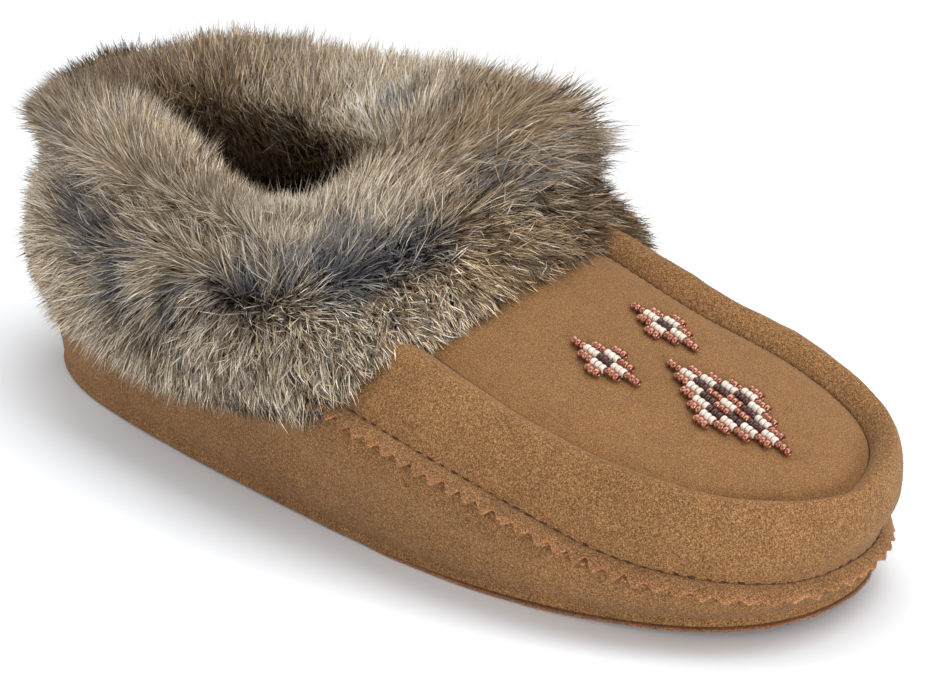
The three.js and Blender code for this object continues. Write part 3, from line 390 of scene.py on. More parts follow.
def suede(name, dark, base, light, grain=0.5, patch=28.0, speck=0.35, bump=0.35, col_attr=False, coarse=0.0):
    m, nt, b = new_mat(name)
    tc = nt.nodes.new("ShaderNodeTexCoord").outputs["Object"]
    big = tex_noise(nt, tc, 1000 / patch, 3.0, 0.55)
    mid = tex_noise(nt, tc, 1000 / 5.0, 3.0, 0.6)
    fine = tex_noise(nt, tc, 1000 / grain, 2.0, 0.7)
    c = stops(nt, big, [(0.30, dark), (0.52, base), (0.74, light)])
    c2 = stops(nt, mid, [(0.30, tuple(v * k for v, k in zip(base, (0.84, 0.87, 0.90)))), (0.70, tuple(min(1, v * k) for v, k in zip(base, (1.17, 1.13, 1.06))))])
    c = blend_col(nt, "MIX", 0.45, c, c2)
    sp = stops(nt, fine, [(0.39, (0.42, 0.32, 0.19)), (0.465, (0.89, 0.88, 0.85)), (0.535, (1.05, 1.06, 1.08)), (0.61, (1.90, 1.98, 2.15))])
    c = blend_col(nt, "MULTIPLY", speck, c, sp)
    if coarse:
        wide = tex_noise(nt, tc, 1000 / (grain * 2.2), 2.0, 0.6)
        sp2 = stops(nt, wide, [(0.37, (0.50, 0.44, 0.36)), (0.48, (0.97, 0.97, 0.96)), (0.53, (1.03, 1.03, 1.04)), (0.63, (1.55, 1.58, 1.64))])
        c = blend_col(nt, "MULTIPLY", coarse, c, sp2)
    if col_attr:
        at = nt.nodes.new("ShaderNodeAttribute")
        at.attribute_name = "Col"
        c = blend_col(nt, "MULTIPLY", 1.0, c, at.outputs["Color"])
    nt.links.new(c, b.inputs["Base Color"])
    b.inputs["Roughness"].default_value = 0.92
    b.inputs["Specular IOR Level"].default_value = 0.18
    b.inputs["Sheen Weight"].default_value = 0.12
    b.inputs["Sheen Roughness"].default_value = 0.45
    b.inputs["Sheen Tint"].default_value = (1.0, 0.80, 0.60, 1)
    h = nt.nodes.new("ShaderNodeMath")
    h.operation = "MULTIPLY_ADD"
    h.inputs[1].default_value = 0.5
    nt.links.new(mid, h.inputs[0])
    nt.links.new(fine, h.inputs[2])
    bp = nt.nodes.new("ShaderNodeBump")
    bp.inputs["Strength"].default_value = bump
    bp.inputs["Distance"].default_value = 0.0003
    nt.links.new(h.outputs[0], bp.inputs["Height"])
    nt.links.new(bp.outputs[0], b.inputs["Normal"])
    return m


M_UPPER = suede("suede_band", (0.176, 0.092, 0.037), (0.210, 0.108, 0.043), (0.242, 0.124, 0.050), grain=0.32, speck=0.80, bump=0.6, col_attr=True, coarse=0.45)
M_PLUG = suede("suede_plug", (0.190, 0.096, 0.037), (0.208, 0.104, 0.040), (0.222, 0.112, 0.044), grain=0.28, patch=34, speck=0.65, bump=0.35)
M_SEAM = suede("suede_seam", (0.190, 0.098, 0.041), (0.222, 0.113, 0.048), (0.252, 0.132, 0.060), grain=0.32, patch=8, speck=0.8, bump=0.6, col_attr=True, coarse=0.35)
M_SOLE = suede("suede_sole", (0.168, 0.088, 0.037), (0.198, 0.103, 0.043), (0.226, 0.120, 0.052), grain=0.32, patch=9, speck=0.8, bump=0.6, col_attr=True)


def attr_mat(name, rough, spec, sheen=0.0, metallic=0.0, coat=0.0):
    m, nt, b = new_mat(name)
    at = nt.nodes.new("ShaderNodeAttribute")
    at.attribute_name = "Col"
    tc = nt.nodes.new("ShaderNodeTexCoord").outputs["Object"]
    n = tex_noise(nt, tc, 1000 / 1.2, 2.0, 0.6)
    v = stops(nt, n, [(0.25, (0.86, 0.86, 0.86)), (0.75, (1.0, 1.0, 1.0))])
    c = blend_col(nt, "MULTIPLY", 1.0, at.outputs["Color"], v)
    nt.links.new(c, b.inputs["Base Color"])
    b.inputs["Roughness"].default_value = rough
    b.inputs["Specular IOR Level"].default_value = spec
    b.inputs["Metallic"].default_value = metallic
    if sheen:
        b.inputs["Sheen Weight"].default_value = sheen
    return m


M_HAIR = attr_mat("fur_hair", 0.62, 0.28)
M_WOOL = attr_mat("fur_wool", 0.9, 0.1)
M_NAP = attr_mat("suede_fibre", 0.95, 0.1)
M_THREAD = attr_mat("thread", 0.6, 0.3)


def pelt_mat():
    m, nt, b = new_mat("pelt")
    tc = nt.nodes.new("ShaderNodeTexCoord").outputs["Object"]
    big = tex_noise(nt, tc, 1000 / 22.0, 2.0, 0.6)
    fine = tex_noise(nt, tc, 1000 / 0.7, 3.0, 0.7)
    c = stops(nt, big, [(0.35, lin(62, 60, 62)), (0.5, lin(88, 78, 68)), (0.66, lin(112, 96, 78))])
    c2 = stops(nt, fine, [(0.3, (0.45, 0.44, 0.43)), (0.7, (1, 1, 1))])
    c = blend_col(nt, "MULTIPLY", 0.8, c, c2)
    nt.links.new(c, b.inputs["Base Color"])
    b.inputs["Roughness"].default_value = 1.0
    b.inputs["Specular IOR Level"].default_value = 0.05
    return m


M_PELT = pelt_mat()


def bead_mat(name, dark, light, metallic, rough, coat, spec=0.5):
    m, nt, b = new_mat(name)
    tc = nt.nodes.new("ShaderNodeTexCoord").outputs["Object"]
    big = tex_noise(nt, tc, 1000 / 1.6, 1.0, 0.5)
    c = stops(nt, big, [(0.32, dark), (0.68, light)])
    nt.links.new(c, b.inputs["Base Color"])
    b.inputs["Metallic"].default_value = metallic
    b.inputs["Roughness"].default_value = rough
    b.inputs["Specular IOR Level"].default_value = spec
    b.inputs["Coat Weight"].default_value = coat
    b.inputs["Coat Roughness"].default_value = 0.08
    fine = tex_noise(nt, tc, 1000 / 0.5, 1.0, 0.5)
    bp = nt.nodes.new("ShaderNodeBump")
    bp.inputs["Strength"].default_value = 0.12
    bp.inputs["Distance"].default_value = 0.0001
    nt.links.new(fine, bp.inputs["Height"])
    nt.links.new(bp.outputs[0], b.inputs["Normal"])
    return m


M_COPPER = bead_mat("bead_copper", lin(146, 94, 74), lin(180, 124, 102), 0.80, 0.31, 0.15)
M_CREAM = bead_mat("bead_cream", lin(204, 188, 172), lin(226, 211, 197), 0.0, 0.30, 0.3)
M_DARK = bead_mat("bead_dark", lin(50, 22, 20), lin(76, 36, 31), 0.0, 0.36, 0.2, 0.35)


# ---------------------------------------------------------------- camera, light, floor
def camera():
    az, el, roll = math.radians(44.29), math.radians(23.09), math.radians(-1.14)
    back = np.array([math.sin(az) * math.cos(el), -math.cos(az) * math.cos(el), math.sin(el)])
    right = np.array([math.cos(az), math.sin(az), 0.0])
    up = np.cross(back, right)
    r = math.cos(roll) * right + math.sin(roll) * up
    u = -math.sin(roll) * right + math.cos(roll) * up
    at = (np.array([139.87, -0.914, 37.12]) + back * 907.24 + OFF) * 0.001
    cam = bpy.data.cameras.new("camera")
    cam.sensor_width = 36.0
    cam.lens = 3786.5 * 36.0 / 942.0
    cam.clip_start, cam.clip_end = 0.05, 20.0
    o = bpy.data.objects.new("camera", cam)
    m = Matrix.Identity(4)
    for k in range(3):
        m[k][0], m[k][1], m[k][2], m[k][3] = r[k], u[k], back[k], at[k]
    o.matrix_world = m
    bpy.context.scene.collection.objects.link(o)
    bpy.context.scene.camera = o


def area_light(name, at, target, size, power, color=(1, 1, 1)):
    l = bpy.data.lights.new(name, "AREA")
    l.shape = "RECTANGLE"
    l.size, l.size_y = size
    l.energy = power
    l.color = color
    o = bpy.data.objects.new(name, l)
    o.location = at
    o.rotation_mode = "QUATERNION"
    o.rotation_quaternion = (Vector(target) - Vector(at)).to_track_quat("-Z", "Y")
    bpy.context.scene.collection.objects.link(o)


def studio():
    sc = bpy.context.scene
    sc.view_settings.view_transform = "Standard"
    sc.view_settings.look = "None"
    w = bpy.data.worlds.new("world")
    sc.world = w
    w.use_nodes = True
    bg = w.node_tree.nodes["Background"]
    bg.inputs[0].default_value = (1, 1, 1, 1)
    bg.inputs[1].default_value = 0.345
    area_light("top", (0.03, 0.28, 1.08), (0, 0, 0.03), (1.7, 0.85), 14.2)
    area_light("left_low", (-0.45, -1.15, 0.22), (0, 0, 0.03), (0.8, 0.36), 4.4)
    area_light("right_low", (1.15, -0.35, 0.22), (0, 0, 0.03), (0.8, 0.36), 10.1)
    area_light("right", (0.95, 0.45, 0.60), (0, 0, 0.03), (0.75, 0.65), 2.4)
    area_light("left_high", (-0.85, -0.25, 0.65), (0, 0, 0.03), (0.7, 0.7), 3.1)
    me = bpy.data.meshes.new("floor")
    s = 3.0
    n = 2
    me.from_pydata([(-s, -s, 0), (s, -s, 0), (s, s, 0), (-s, s, 0)], [], [(0, 1, 2, 3)])
    m, nt, b = new_mat("floor")
    tc = nt.nodes.new("ShaderNodeTexCoord").outputs["Object"]
    f = tex_noise(nt, tc, 3.0, 1.0)
    c = stops(nt, f, [(0.3, (0.872, 0.894, 0.924)), (0.7, (0.900, 0.922, 0.952))])
    nt.links.new(c, b.inputs["Base Color"])
    b.inputs["Roughness"].default_value = 0.9
    b.inputs["Specular IOR Level"].default_value = 0.0
    me.materials.append(m)
    o = bpy.data.objects.new("floor", me)
    bpy.context.scene.collection.objects.link(o)


camera()
studio()

# ---------------------------------------------------------------- upper
ROUND = 460
RISE = [12, 12, 14, 14, 14]
RISE_IN = [3, 3, 3, 3, 3]

# Soft troughs (depth > 0) and ridges: station u, how far up the section
# (0 sole edge, 1 groove), direction, half length and half width in mm, depth in mm.
CREASES = [
    # x, y, z of its middle, run direction, half length, half width, depth
    (150, -46, 47, (0.95, 0.0, -0.25), 20, 4.0, 0.7),
    (128, -45, 46, (0.8, 0.0, 0.5), 11, 3.0, 0.6),
    (196, -42, 42, (1.0, 0.2, -0.2), 22, 5.0, 0.5),
    (232, -33, 31, (0.7, 0.6, -0.1), 14, 3.6, 0.45),
    (60, -39, 18, (1.0, -0.1, 0.12), 26, 5.0, 0.8),
    (112, -45, 20, (1.0, 0.0, -0.15), 30, 6.0, 0.8),
    (168, -47, 15, (1.0, 0.05, -0.12), 24, 4.5, 0.6),
    (30, -31, 15, (0.85, -0.5, 0.25), 13, 4.0, 0.8),
    (10, -20, 22, (0.3, -0.2, 1.0), 12, 4.0, 0.7),
    (142, 36, 58, (0.5, 0.9, 0.1), 5, 2.2, 0.9),
    (156, 34, 56, (0.4, 0.9, 0.0), 5, 2.4, 0.8),
    (176, 33, 51, (0.3, 0.95, 0.0), 5, 2.6, 0.6),
    (204, 38, 44, (0.2, 1.0, 0.0), 6, 3.0, 0.5),
    (90, 37, 20, (1.0, 0.05, 0.1), 28, 6.0, 0.8),
    (150, 45, 18, (1.0, 0.1, -0.2), 22, 5.0, 0.7),
]


def creased(p, n):
    """Moves surface points along their normals by the creases and a slight unevenness."""
    d = np.zeros(p.shape[:-1])
    for x, y, z, run, a, b, deep in CREASES:
        r = unit(np.array(run, float))
        v = p - np.array([x, y, z], float)
        along = v @ r
        off = np.linalg.norm(v - along[..., None] * r, axis=-1)
        near = np.exp(-(along / a) ** 2)
        d -= deep * near * (np.exp(-(off / b) ** 2) - 0.45 * np.exp(-((off - 1.7 * b) / b) ** 2))
    d += 0.30 * noise(p, 16, 3) + 0.14 * noise(p, 6, 4)
    return p + n * d[..., None]


def upper_grids(n_round, rise, rise_in):
    u = np.arange(n_round) / n_round
    out, inn = sections(u, rise, True), sections(u, rise_in, False)
    return u, out, inn, grid_normals(out), grid_normals(inn)


def build_upper():
    u, out, inn, no, ni = upper_grids(ROUND, RISE, RISE_IN)
    # nothing moves at the sole's edge or in the groove
    m = out.shape[1]
    hold = np.ones(m)
    hold[:4] = np.linspace(0, 1, 4)
    hold[-6:] = np.linspace(1, 0, 6)
    seam_j = RISE[0] + RISE[1]
    hold[seam_j - 3:seam_j + 4] *= np.array([0.9, 0.6, 0.3, 0.15, 0.3, 0.6, 0.9])
    bent = creased(out, no)
    out = out + (bent - out) * hold[None, :, None]
    q, e, k = outward(rimPlan, u), outward(soleEdge, u), throatAt(u)
    nb = ni.copy()
    nb[:, 0] = np.column_stack([e, np.zeros(len(u))])
    nb[:, -1] = unit(np.column_stack([q * (1 - k)[:, None], k]))
    back = (inn - nb * WALL)[:, ::-1]
    # the wrap is turned down over the sole's edge; at the front it stops above the raw layer
    edge = soleEdge(u)
    low = springAt(edge[:, 0]) + mix(0.30, 1.15, ramp(145, 190, edge[:, 0]))
    foot = out[:, 0, 2]
    tuck = []
    for off, f in ((-2.4, 0.96), (-0.95, 1.0), (-0.42, 0.86), (-0.30, 0.55), (-0.50, 0.22)):
        tuck.append(np.column_stack([edge + e * off, mix(foot, low, f)]))
    tuck = np.stack(tuck, 1)
    tuck[:, 1:4, :2] += e[:, None] * (0.10 * noise(tuck[:, 1:4], 9, 53) + 0.05 * noise(tuck[:, 1:4], 2.2, 54))[..., None]
    g = np.concatenate([tuck, out, back], 1)
    m += tuck.shape[1]
    # tint: darker low down, painted shade in the groove, faint rub marks
    z = g[..., 2]
    tint = 0.90 + 0.12 * ramp(6, 34, z) + 0.05 * noise(g, 24, 8) + 0.03 * noise(g, 9, 9)
    tint += 0.11 * ramp(165, 215, g[..., 0]) * (1 - ramp(12, 22, z)) + 0.06 * (1 - ramp(40, 110, g[..., 0]))
    # painted shade: the last rows of the band and the first of the inner wall darken into the groove
    groove = np.zeros(g.shape[1])
    groove[m - 7:m] = np.linspace(0, 0.16, 7)
    groove[m:m + 2] = 0.4
    tint = tint * (1 - groove[None, :] * k[:, None])
    col = tint[..., None] * np.array([1.0, 0.985, 0.96])
    # painted shadow on the wrap right under the flange
    a = float(tOf(FLANGE_FROM)) / 2
    under = z[:, 5 + seam_j][:, None] - z
    there = (ramp(a, a + 0.012, u) * (1 - ramp(1 - a - 0.012, 1 - a, u)))[:, None]
    band = np.zeros(z.shape)
    band[:, 5:5 + seam_j] = 1.0
    shade = band * there * ramp(0.2, 0.8, under) * (1 - ramp(3.4, 6.6, under + 0.6 * noise(g, 7, 57)))
    col = col * (1 - shade[..., None] * np.array([0.40, 0.42, 0.44]))
    rub = ramp(0.25, 0.8, noise(g, 30, 11)) * ramp(2, 14, 40 - np.abs(z - 26))
    col = col * (1 - 0.06 * rub[..., None]) + np.array([0.03, 0.0, -0.01]) * rub[..., None]
    return make("upper_suede", g, ring_faces(ROUND, g.shape[1]), [M_UPPER], ["upper"], color=col.reshape(-1, 3))


build_upper()


# ---------------------------------------------------------------- plug
def plug_rows(gap, stations):
    k = throatAt(stations / 2)
    inset = gap + (WALL + GAP) * (1 - k) / np.hypot(1 - k, k)

    def at(u):
        return rimPlan(u) - outward(rimPlan, u) * inset[:, None]
    return at(stations / 2), at(1 - stations / 2)


def build_plug():
    t0 = float(tOf(THROAT))
    st = np.concatenate([np.linspace(t0, 1, 150)[:-1], 1 - np.array([0.004, 0.0015])])
    st = np.unique(st)
    left, right = plug_rows(0.22, st)
    wide = 56
    across = 0.5 - 0.5 * np.cos(np.pi * np.linspace(0, 1, wide + 1))
    across = mix(np.linspace(0, 1, wide + 1), across, 0.6)
    g = left[:, None] + (right - left)[:, None] * across[None, :, None]
    edge = np.concatenate([left, right, left[:1] + (right[:1] - left[:1]) * 0.5])
    edge = np.concatenate([left, right])
    flat = g.reshape(-1, 2)
    best = np.full(len(flat), 1e9)
    for e in edge[::2]:
        best = np.minimum(best, np.hypot(flat[:, 0] - e[0], flat[:, 1] - e[1]))
    best = best.reshape(g.shape[:2])
    x, y = g[..., 0], g[..., 1]
    near_side = (1 - ramp(0.25, 0.6, across))[None, :] * (1 - ramp(226, 246, x))
    z = vampUp(x, y) - (DIP + 0.25) * (1 - 0.62 * near_side) * (1 - ramp(0, DIP_WIDTH, best)) ** 1.3
    top = np.stack([x, y, z], -1)
    top[..., 2] += (0.22 * noise(top, 20, 21) + 0.07 * noise(top, 7, 22)) * ramp(0.5, 6, best)
    bot = top.copy()
    bot[..., 2] -= WALL
    n, m = top.shape[:2]
    loop = np.concatenate([top, bot[:, ::-1]], 1)
    faces = ring_faces(n, loop.shape[1], True, False)
    caps = []
    M2 = loop.shape[1]
    for r in (0, n - 1):
        for j in range(m - 1):
            a, b, c, d = r * M2 + j, r * M2 + j + 1, r * M2 + M2 - 2 - j, r * M2 + M2 - 1 - j
            caps.append((a, b, c, d) if r == 0 else (d, c, b, a))
    return make("plug_suede", loop, np.concatenate([faces, np.array(caps)]), [M_PLUG], ["vamp_plug"])


build_plug()


# ---------------------------------------------------------------- pinked seam
def seam_frame(u):
    """Body points and directions along the seam line at u."""
    p, w = knots(u, True)
    n = outward(soleEdge, u)
    low = mix(FLANGE_LOW, -0.1, ramp(150, 245, sOf(side(u)[0])))

    def over(d, off):
        q = w[:, 2] - low + d
        a, b, c = (hermite(w, p, (q + s)[:, None])[:, 0] for s in (-0.2, 0.2, 0.0))
        rise = b[:, 2] - a[:, 2]
        lean = ((b - a)[:, :2] * n).sum(1)
        ln = np.hypot(rise, lean)
        o = np.broadcast_to(off, u.shape)
        return np.column_stack([c[:, :2] + n * (o * rise / ln)[:, None], c[:, 2] - o * lean / ln])
    return over, n


def seam_run(step):
    """u values evenly spaced along the seam, and the length at each."""
    a = float(tOf(FLANGE_FROM)) / 2
    u = np.linspace(a, 1 - a, 6000)
    p = knots(u, True)[0][:, 2]
    run = np.concatenate([[0], np.cumsum(np.linalg.norm(np.diff(p, axis=0), axis=1))])
    k = int(run[-1] / step)
    d = np.linspace(0, run[-1], k + 1)
    return np.interp(d, run, u), d


def droop_at(u, d, seed):
    t, lat, _ = side(u)
    toe_in = np.where(u > 0.5, ramp(0.02, 0.09, u - 0.5), 0.0)
    a = mix(0.64, mix(0.78, 1.42, toe_in), ramp(110, 240, sOf(t)))
    q = np.column_stack([d, np.zeros_like(d), np.zeros_like(d)])
    return a + 0.10 * noise(q, 21, seed) + 0.05 * noise(q, 7, seed + 1)


RAW_EDGE = []


def build_seam():
    u, d = seam_run(0.50)
    over, n = seam_frame(u)
    q = np.column_stack([d, np.zeros_like(d), np.zeros_like(d)])
    verts, faces, cols, at0 = [], [], [], 0
    for layer, (low, high, phase, wide, seed) in enumerate([(0.02, 0.80, 0.0, 0.45, 31), (-0.82, -0.06, 0.62, -0.40, 41)]):
        droop = droop_at(u, d, 30) + 0.04 * layer * noise(q, 9, seed + 5) + 0.05 * layer
        c, s = np.cos(droop), np.sin(droop)
        root = over(np.zeros_like(u), 0.4)
        ph = d / TOOTH_PITCH + phase + 0.10 * noise(q, 9, seed + 2)
        tooth = np.abs(2 * (ph - np.floor(ph)) - 1)            # 0 at a notch, 1 at a tip
        tooth = np.clip((tooth - 0.04) / 0.90, 0, 1)
        tooth = mix(tooth, 0.5 - 0.5 * np.cos(np.pi * tooth), 0.5)
        gone = ramp(0.46, 0.53, u)
        deep = TOOTH * mix(1.20, 0.66, ramp(215, 245, sOf(side(u)[0]))) * (1 - 0.25 * gone) * (1.0 + 0.26 * noise(q, 6, seed + 3))
        width = FLANGE - 0.1 - 1.0 * gone + wide - deep * (1 - tooth) + 0.16 * noise(q, 1.1, seed + 4) + 0.10 * noise(q, 3.0, seed + 8)

        def at(a, b):
            o = a * c + b * s
            return np.column_stack([root[:, :2] + n * o[:, None], root[:, 2] - a * s + b * c])
        cross = []
        steps = np.array([0.0, 0.12, 0.3, 0.5, 0.7, 0.86, 0.97])
        curl = 0.25 + 0.2 * noise(q, 8, seed + 6)
        up_in, dn_in = over(np.full_like(u, high), 0.02), over(np.full_like(u, low), 0.02)
        for f in steps:                                         # upper face outwards
            b = high + curl * f * f - 0.15 * ramp(0.8, 1.0, f)
            p = at(width * f, b)
            cross.append(mix(up_in, p, min(1.0, f / 0.3)) if f < 0.3 else p)
        cross.append(at(width, (high + low) / 2 + curl))        # raw edge
        for f in steps[::-1]:
            b = low + curl * f * f + 0.15 * ramp(0.8, 1.0, f)
            p = at(width * f, b)
            cross.append(mix(dn_in, p, min(1.0, f / 0.3)) if f < 0.3 else p)
        g = np.stack(cross, 1)
        g += 0.06 * np.stack([noise(g, 1.4, seed + 7 + k) for k in range(3)], -1) * np.linspace(0, 1, g.shape[1])[None, :, None] ** 0
        m = g.shape[1]
        edge = np.zeros(m)
        edge[len(steps) - 3:len(steps) + 2] = [0.12, 0.50, 1.0, 1.0, 0.6]
        col = np.ones(g.shape) * (0.96 + 0.07 * noise(g, 6, seed + 9))[..., None]
        raw = np.array([1.44, 1.26, 1.26])
        col = col * (1 - edge[None, :, None]) + raw * edge[None, :, None] * col
        verts.append(g.reshape(-1, 3))
        cols.append(col.reshape(-1, 3))
        faces.append(ring_faces(len(u), m, True, False) + at0)
        caps = []
        for r in (0, len(u) - 1):
            for j in range(m // 2):
                k = [r * m + j, r * m + j + 1, r * m + m - 2 - j, r * m + m - 1 - j]
                if len(set(k)) == 4:
                    caps.append((k if r == 0 else k[::-1]))
        faces.append(np.array(caps) + at0)
        at0 += g.shape[0] * m
        RAW_EDGE.append((g[:, len(steps)], unit(g[:, len(steps)] - g[:, len(steps) - 4])))
    return make("seam_flange", np.concatenate(verts), np.concatenate(faces), [M_SEAM], ["pinked_seam"], color=np.concatenate(cols))


build_seam()


def tubes(paths, radii, sides, close=True):
    """Round bars along paths (k, steps, 3), radii (k, steps); pointed off at the ends."""
    k, s, _ = paths.shape
    t = unit(np.gradient(paths, axis=1))
    ref = np.where(np.abs(t[..., 2:3]) > 0.9, np.array([1.0, 0, 0]), np.array([0, 0, 1.0]))
    a = unit(np.cross(t, ref))
    b = np.cross(t, a)
    ang = np.linspace(0, 2 * np.pi, sides, endpoint=False)
    ring = (a[:, :, None] * np.cos(ang)[None, None, :, None] + b[:, :, None] * np.sin(ang)[None, None, :, None])
    v = paths[:, :, None] + ring * radii[:, :, None, None]
    i, j, l = np.meshgrid(np.arange(k), np.arange(s - 1), np.arange(sides), indexing="ij")
    base = i * s * sides
    l2 = (l + 1) % sides
    f = np.stack([base + j * sides + l, base + j * sides + l2, base + (j + 1) * sides + l2, base + (j + 1) * sides + l], -1)
    return v.reshape(-1, 3), f.reshape(-1, 4)


def build_stitches():
    pitch, long = 3.6, 2.9
    u, d = seam_run(0.1)
    total = d[-1]
    k = int((total - 4) / pitch)
    mids = 2 + pitch * (np.arange(k) + 0.5) + RNG.uniform(-0.25, 0.25, k)
    s = np.linspace(-0.5, 0.5, 7)
    span = long * RNG.uniform(0.55, 1.2, k) * mix(1.0, 0.7, ramp(205, 240, sOf(side(np.interp(mids, d, u))[0])))
    run = (mids[:, None] + s[None] * span[:, None]).ravel()
    uu = np.interp(run, d, u)
    over, n = seam_frame(uu)
    toe = np.repeat(ramp(200, 235, sOf(side(np.interp(mids, d, u))[0])), 7)
    sink = 0.12 - 0.42 * (2 * np.abs(np.tile(s, k))) ** 2.6
    wander = np.repeat(RNG.uniform(-0.10, 0.10, k), 7) * (1 + 1.2 * toe) + np.tile(s, k) * np.repeat(RNG.uniform(-0.25, 0.25, k), 7) * (1 + 1.2 * toe)
    p = over(np.full_like(uu, 0.98) + wander, sink)
    paths = p.reshape(k, 7, 3)
    rad = np.tile(np.array([0.03, 0.10, 0.125, 0.135, 0.125, 0.10, 0.03]), (k, 1)) * RNG.uniform(0.6, 1.5, (k, 1)) * mix(1.0, 1.6, toe.reshape(k, 7))
    v, f = tubes(paths, rad, 6)
    tone = RNG.uniform(0.7, 1.3, k)[:, None, None] * np.ones((k, 42, 1))
    col = np.array(lin(64, 38, 22)) * tone.reshape(-1, 1)
    return make("seam_stitches", v, f, [M_THREAD], color=col)


build_stitches()


# ---------------------------------------------------------------- sole and footbed
def build_outsole():
    n = 700
    t = (1 - np.cos(np.linspace(0, 2 * np.pi, n, endpoint=False))) / 2
    u = np.arange(n) / n
    e, o = soleEdge(u), outward(soleEdge, u)
    # two thin layers with a fine groove between their raw edges
    prof = [(-4.0, 0.0), (-1.1, 0.02), (-0.45, 0.12), (-0.12, 0.28), (0.02, 0.55), (-0.02, 0.80), (-0.20, 1.0), (-1.2, 1.08), (-1.7, 1.8), (-1.9, 2.3), (-2.2, 2.7), (-4.0, SOLE)]
    lead = ramp(118, 168, e[:, 0])
    rows = []
    for k, (out, z) in enumerate(prof):
        p = np.column_stack([e + o * (out - (1 - lead) * (1.5 if 0 < k < 8 else 0.0))[:, None], z + springAt(e[:, 0])])
        rag = (0.14 * noise(p, 1.3, 51) + 0.12 * noise(p, 4, 52)) * (1.0 if 1 < k < 7 else 0.0)
        rag += 0.2 * noise(p, 12, 53) * (1.0 if 1 < k < 8 else 0)
        p[:, :2] += o * rag[:, None]
        rows.append(p)
    g = np.stack(rows, 1)
    m = g.shape[1]
    faces = [ring_faces(n, m, False, True)]
    v = g.reshape(-1, 3)
    # caps: rows of quads between the two sides
    for col, flip in ((0, False), (m - 1, True)):
        idx = np.arange(n) * m + col
        h = n // 2
        q = []
        for i in range(1, h - 1):
            a, b, c, dd = idx[i], idx[i + 1], idx[n - i - 1], idx[n - i]
            q.append((a, b, c, dd) if flip else (dd, c, b, a))
        faces.append(np.array(q))
    tri = [(idx0[0], idx0[1], idx0[n - 1]) for idx0 in ()]
    end = []
    for col, flip in ((0, False), (m - 1, True)):
        idx = np.arange(n) * m + col
        h = n // 2
        for a, b, c in ((idx[n - 1], idx[0], idx[1]), (idx[h - 1], idx[h], idx[h + 1])):
            end.append((a, b, c, c) if flip else (c, b, a, a))
    col = np.ones(g.shape) * (1.0 + 0.10 * noise(g, 3, 55) + 0.08 * noise(g, 14, 56))[..., None]
    front = ramp(112, 165, g[:, :1, 0])[..., None]
    raw = np.array([0, 0.3, 1, 1, 1, 1, 0.9, 0.5, 0, 0, 0, 0.0])[None, :, None] * front
    col = col * mix(np.ones(3), np.array([1.30, 1.08, 1.20]), raw)
    # painted shade: the upper rows of the sole's edge and its top, which run in under the wrap, are darker
    col = col * (1 - 0.45 * np.array([0, 0, 0, 0, 0, 0.5, 1, 1, 1, 1, 1, 1.0])[None, :, None])
    ahead = g[:, 4, 0] > 165
    RAW_EDGE.append((g[ahead, 4], np.column_stack([o[ahead], np.zeros(ahead.sum())])))
    o = make("outsole_suede", v, np.concatenate(faces), [M_SOLE], ["outsole"], color=col.reshape(-1, 3))
    bm_ends(o, end)
    return o


def bm_ends(o, ends):
    """Closes the two tip triangles of each cap."""
    import bmesh
    bm = bmesh.new()
    bm.from_mesh(o.data)
    bm.verts.ensure_lookup_table()
    for e in ends:
        q = []
        for i in e:
            if i not in q:
                q.append(int(i))
        bm.faces.new([bm.verts[i] for i in q])
    bmesh.ops.recalc_face_normals(bm, faces=bm.faces)
    for f in bm.faces:
        f.smooth = True
    bm.to_mesh(o.data)
    bm.free()


build_outsole()


def pile_mat():
    m, nt, b = new_mat("footbed_pile")
    tc = nt.nodes.new("ShaderNodeTexCoord").outputs["Object"]
    a = tex_noise(nt, tc, 1000 / 9.0, 3.0, 0.6)
    f = tex_noise(nt, tc, 1000 / 0.8, 3.0, 0.7)
    c = stops(nt, a, [(0.3, lin(96, 72, 52)), (0.7, lin(128, 100, 76))])
    c2 = stops(nt, f, [(0.3, (0.5, 0.48, 0.46)), (0.7, (1, 1, 1))])
    nt.links.new(blend_col(nt, "MULTIPLY", 0.8, c, c2), b.inputs["Base Color"])
    b.inputs["Roughness"].default_value = 1.0
    b.inputs["Sheen Weight"].default_value = 0.3
    bp = nt.nodes.new("ShaderNodeBump")
    bp.inputs["Strength"].default_value = 0.8
    bp.inputs["Distance"].default_value = 0.0006
    nt.links.new(f, bp.inputs["Height"])
    nt.links.new(bp.outputs[0], b.inputs["Normal"])
    return m


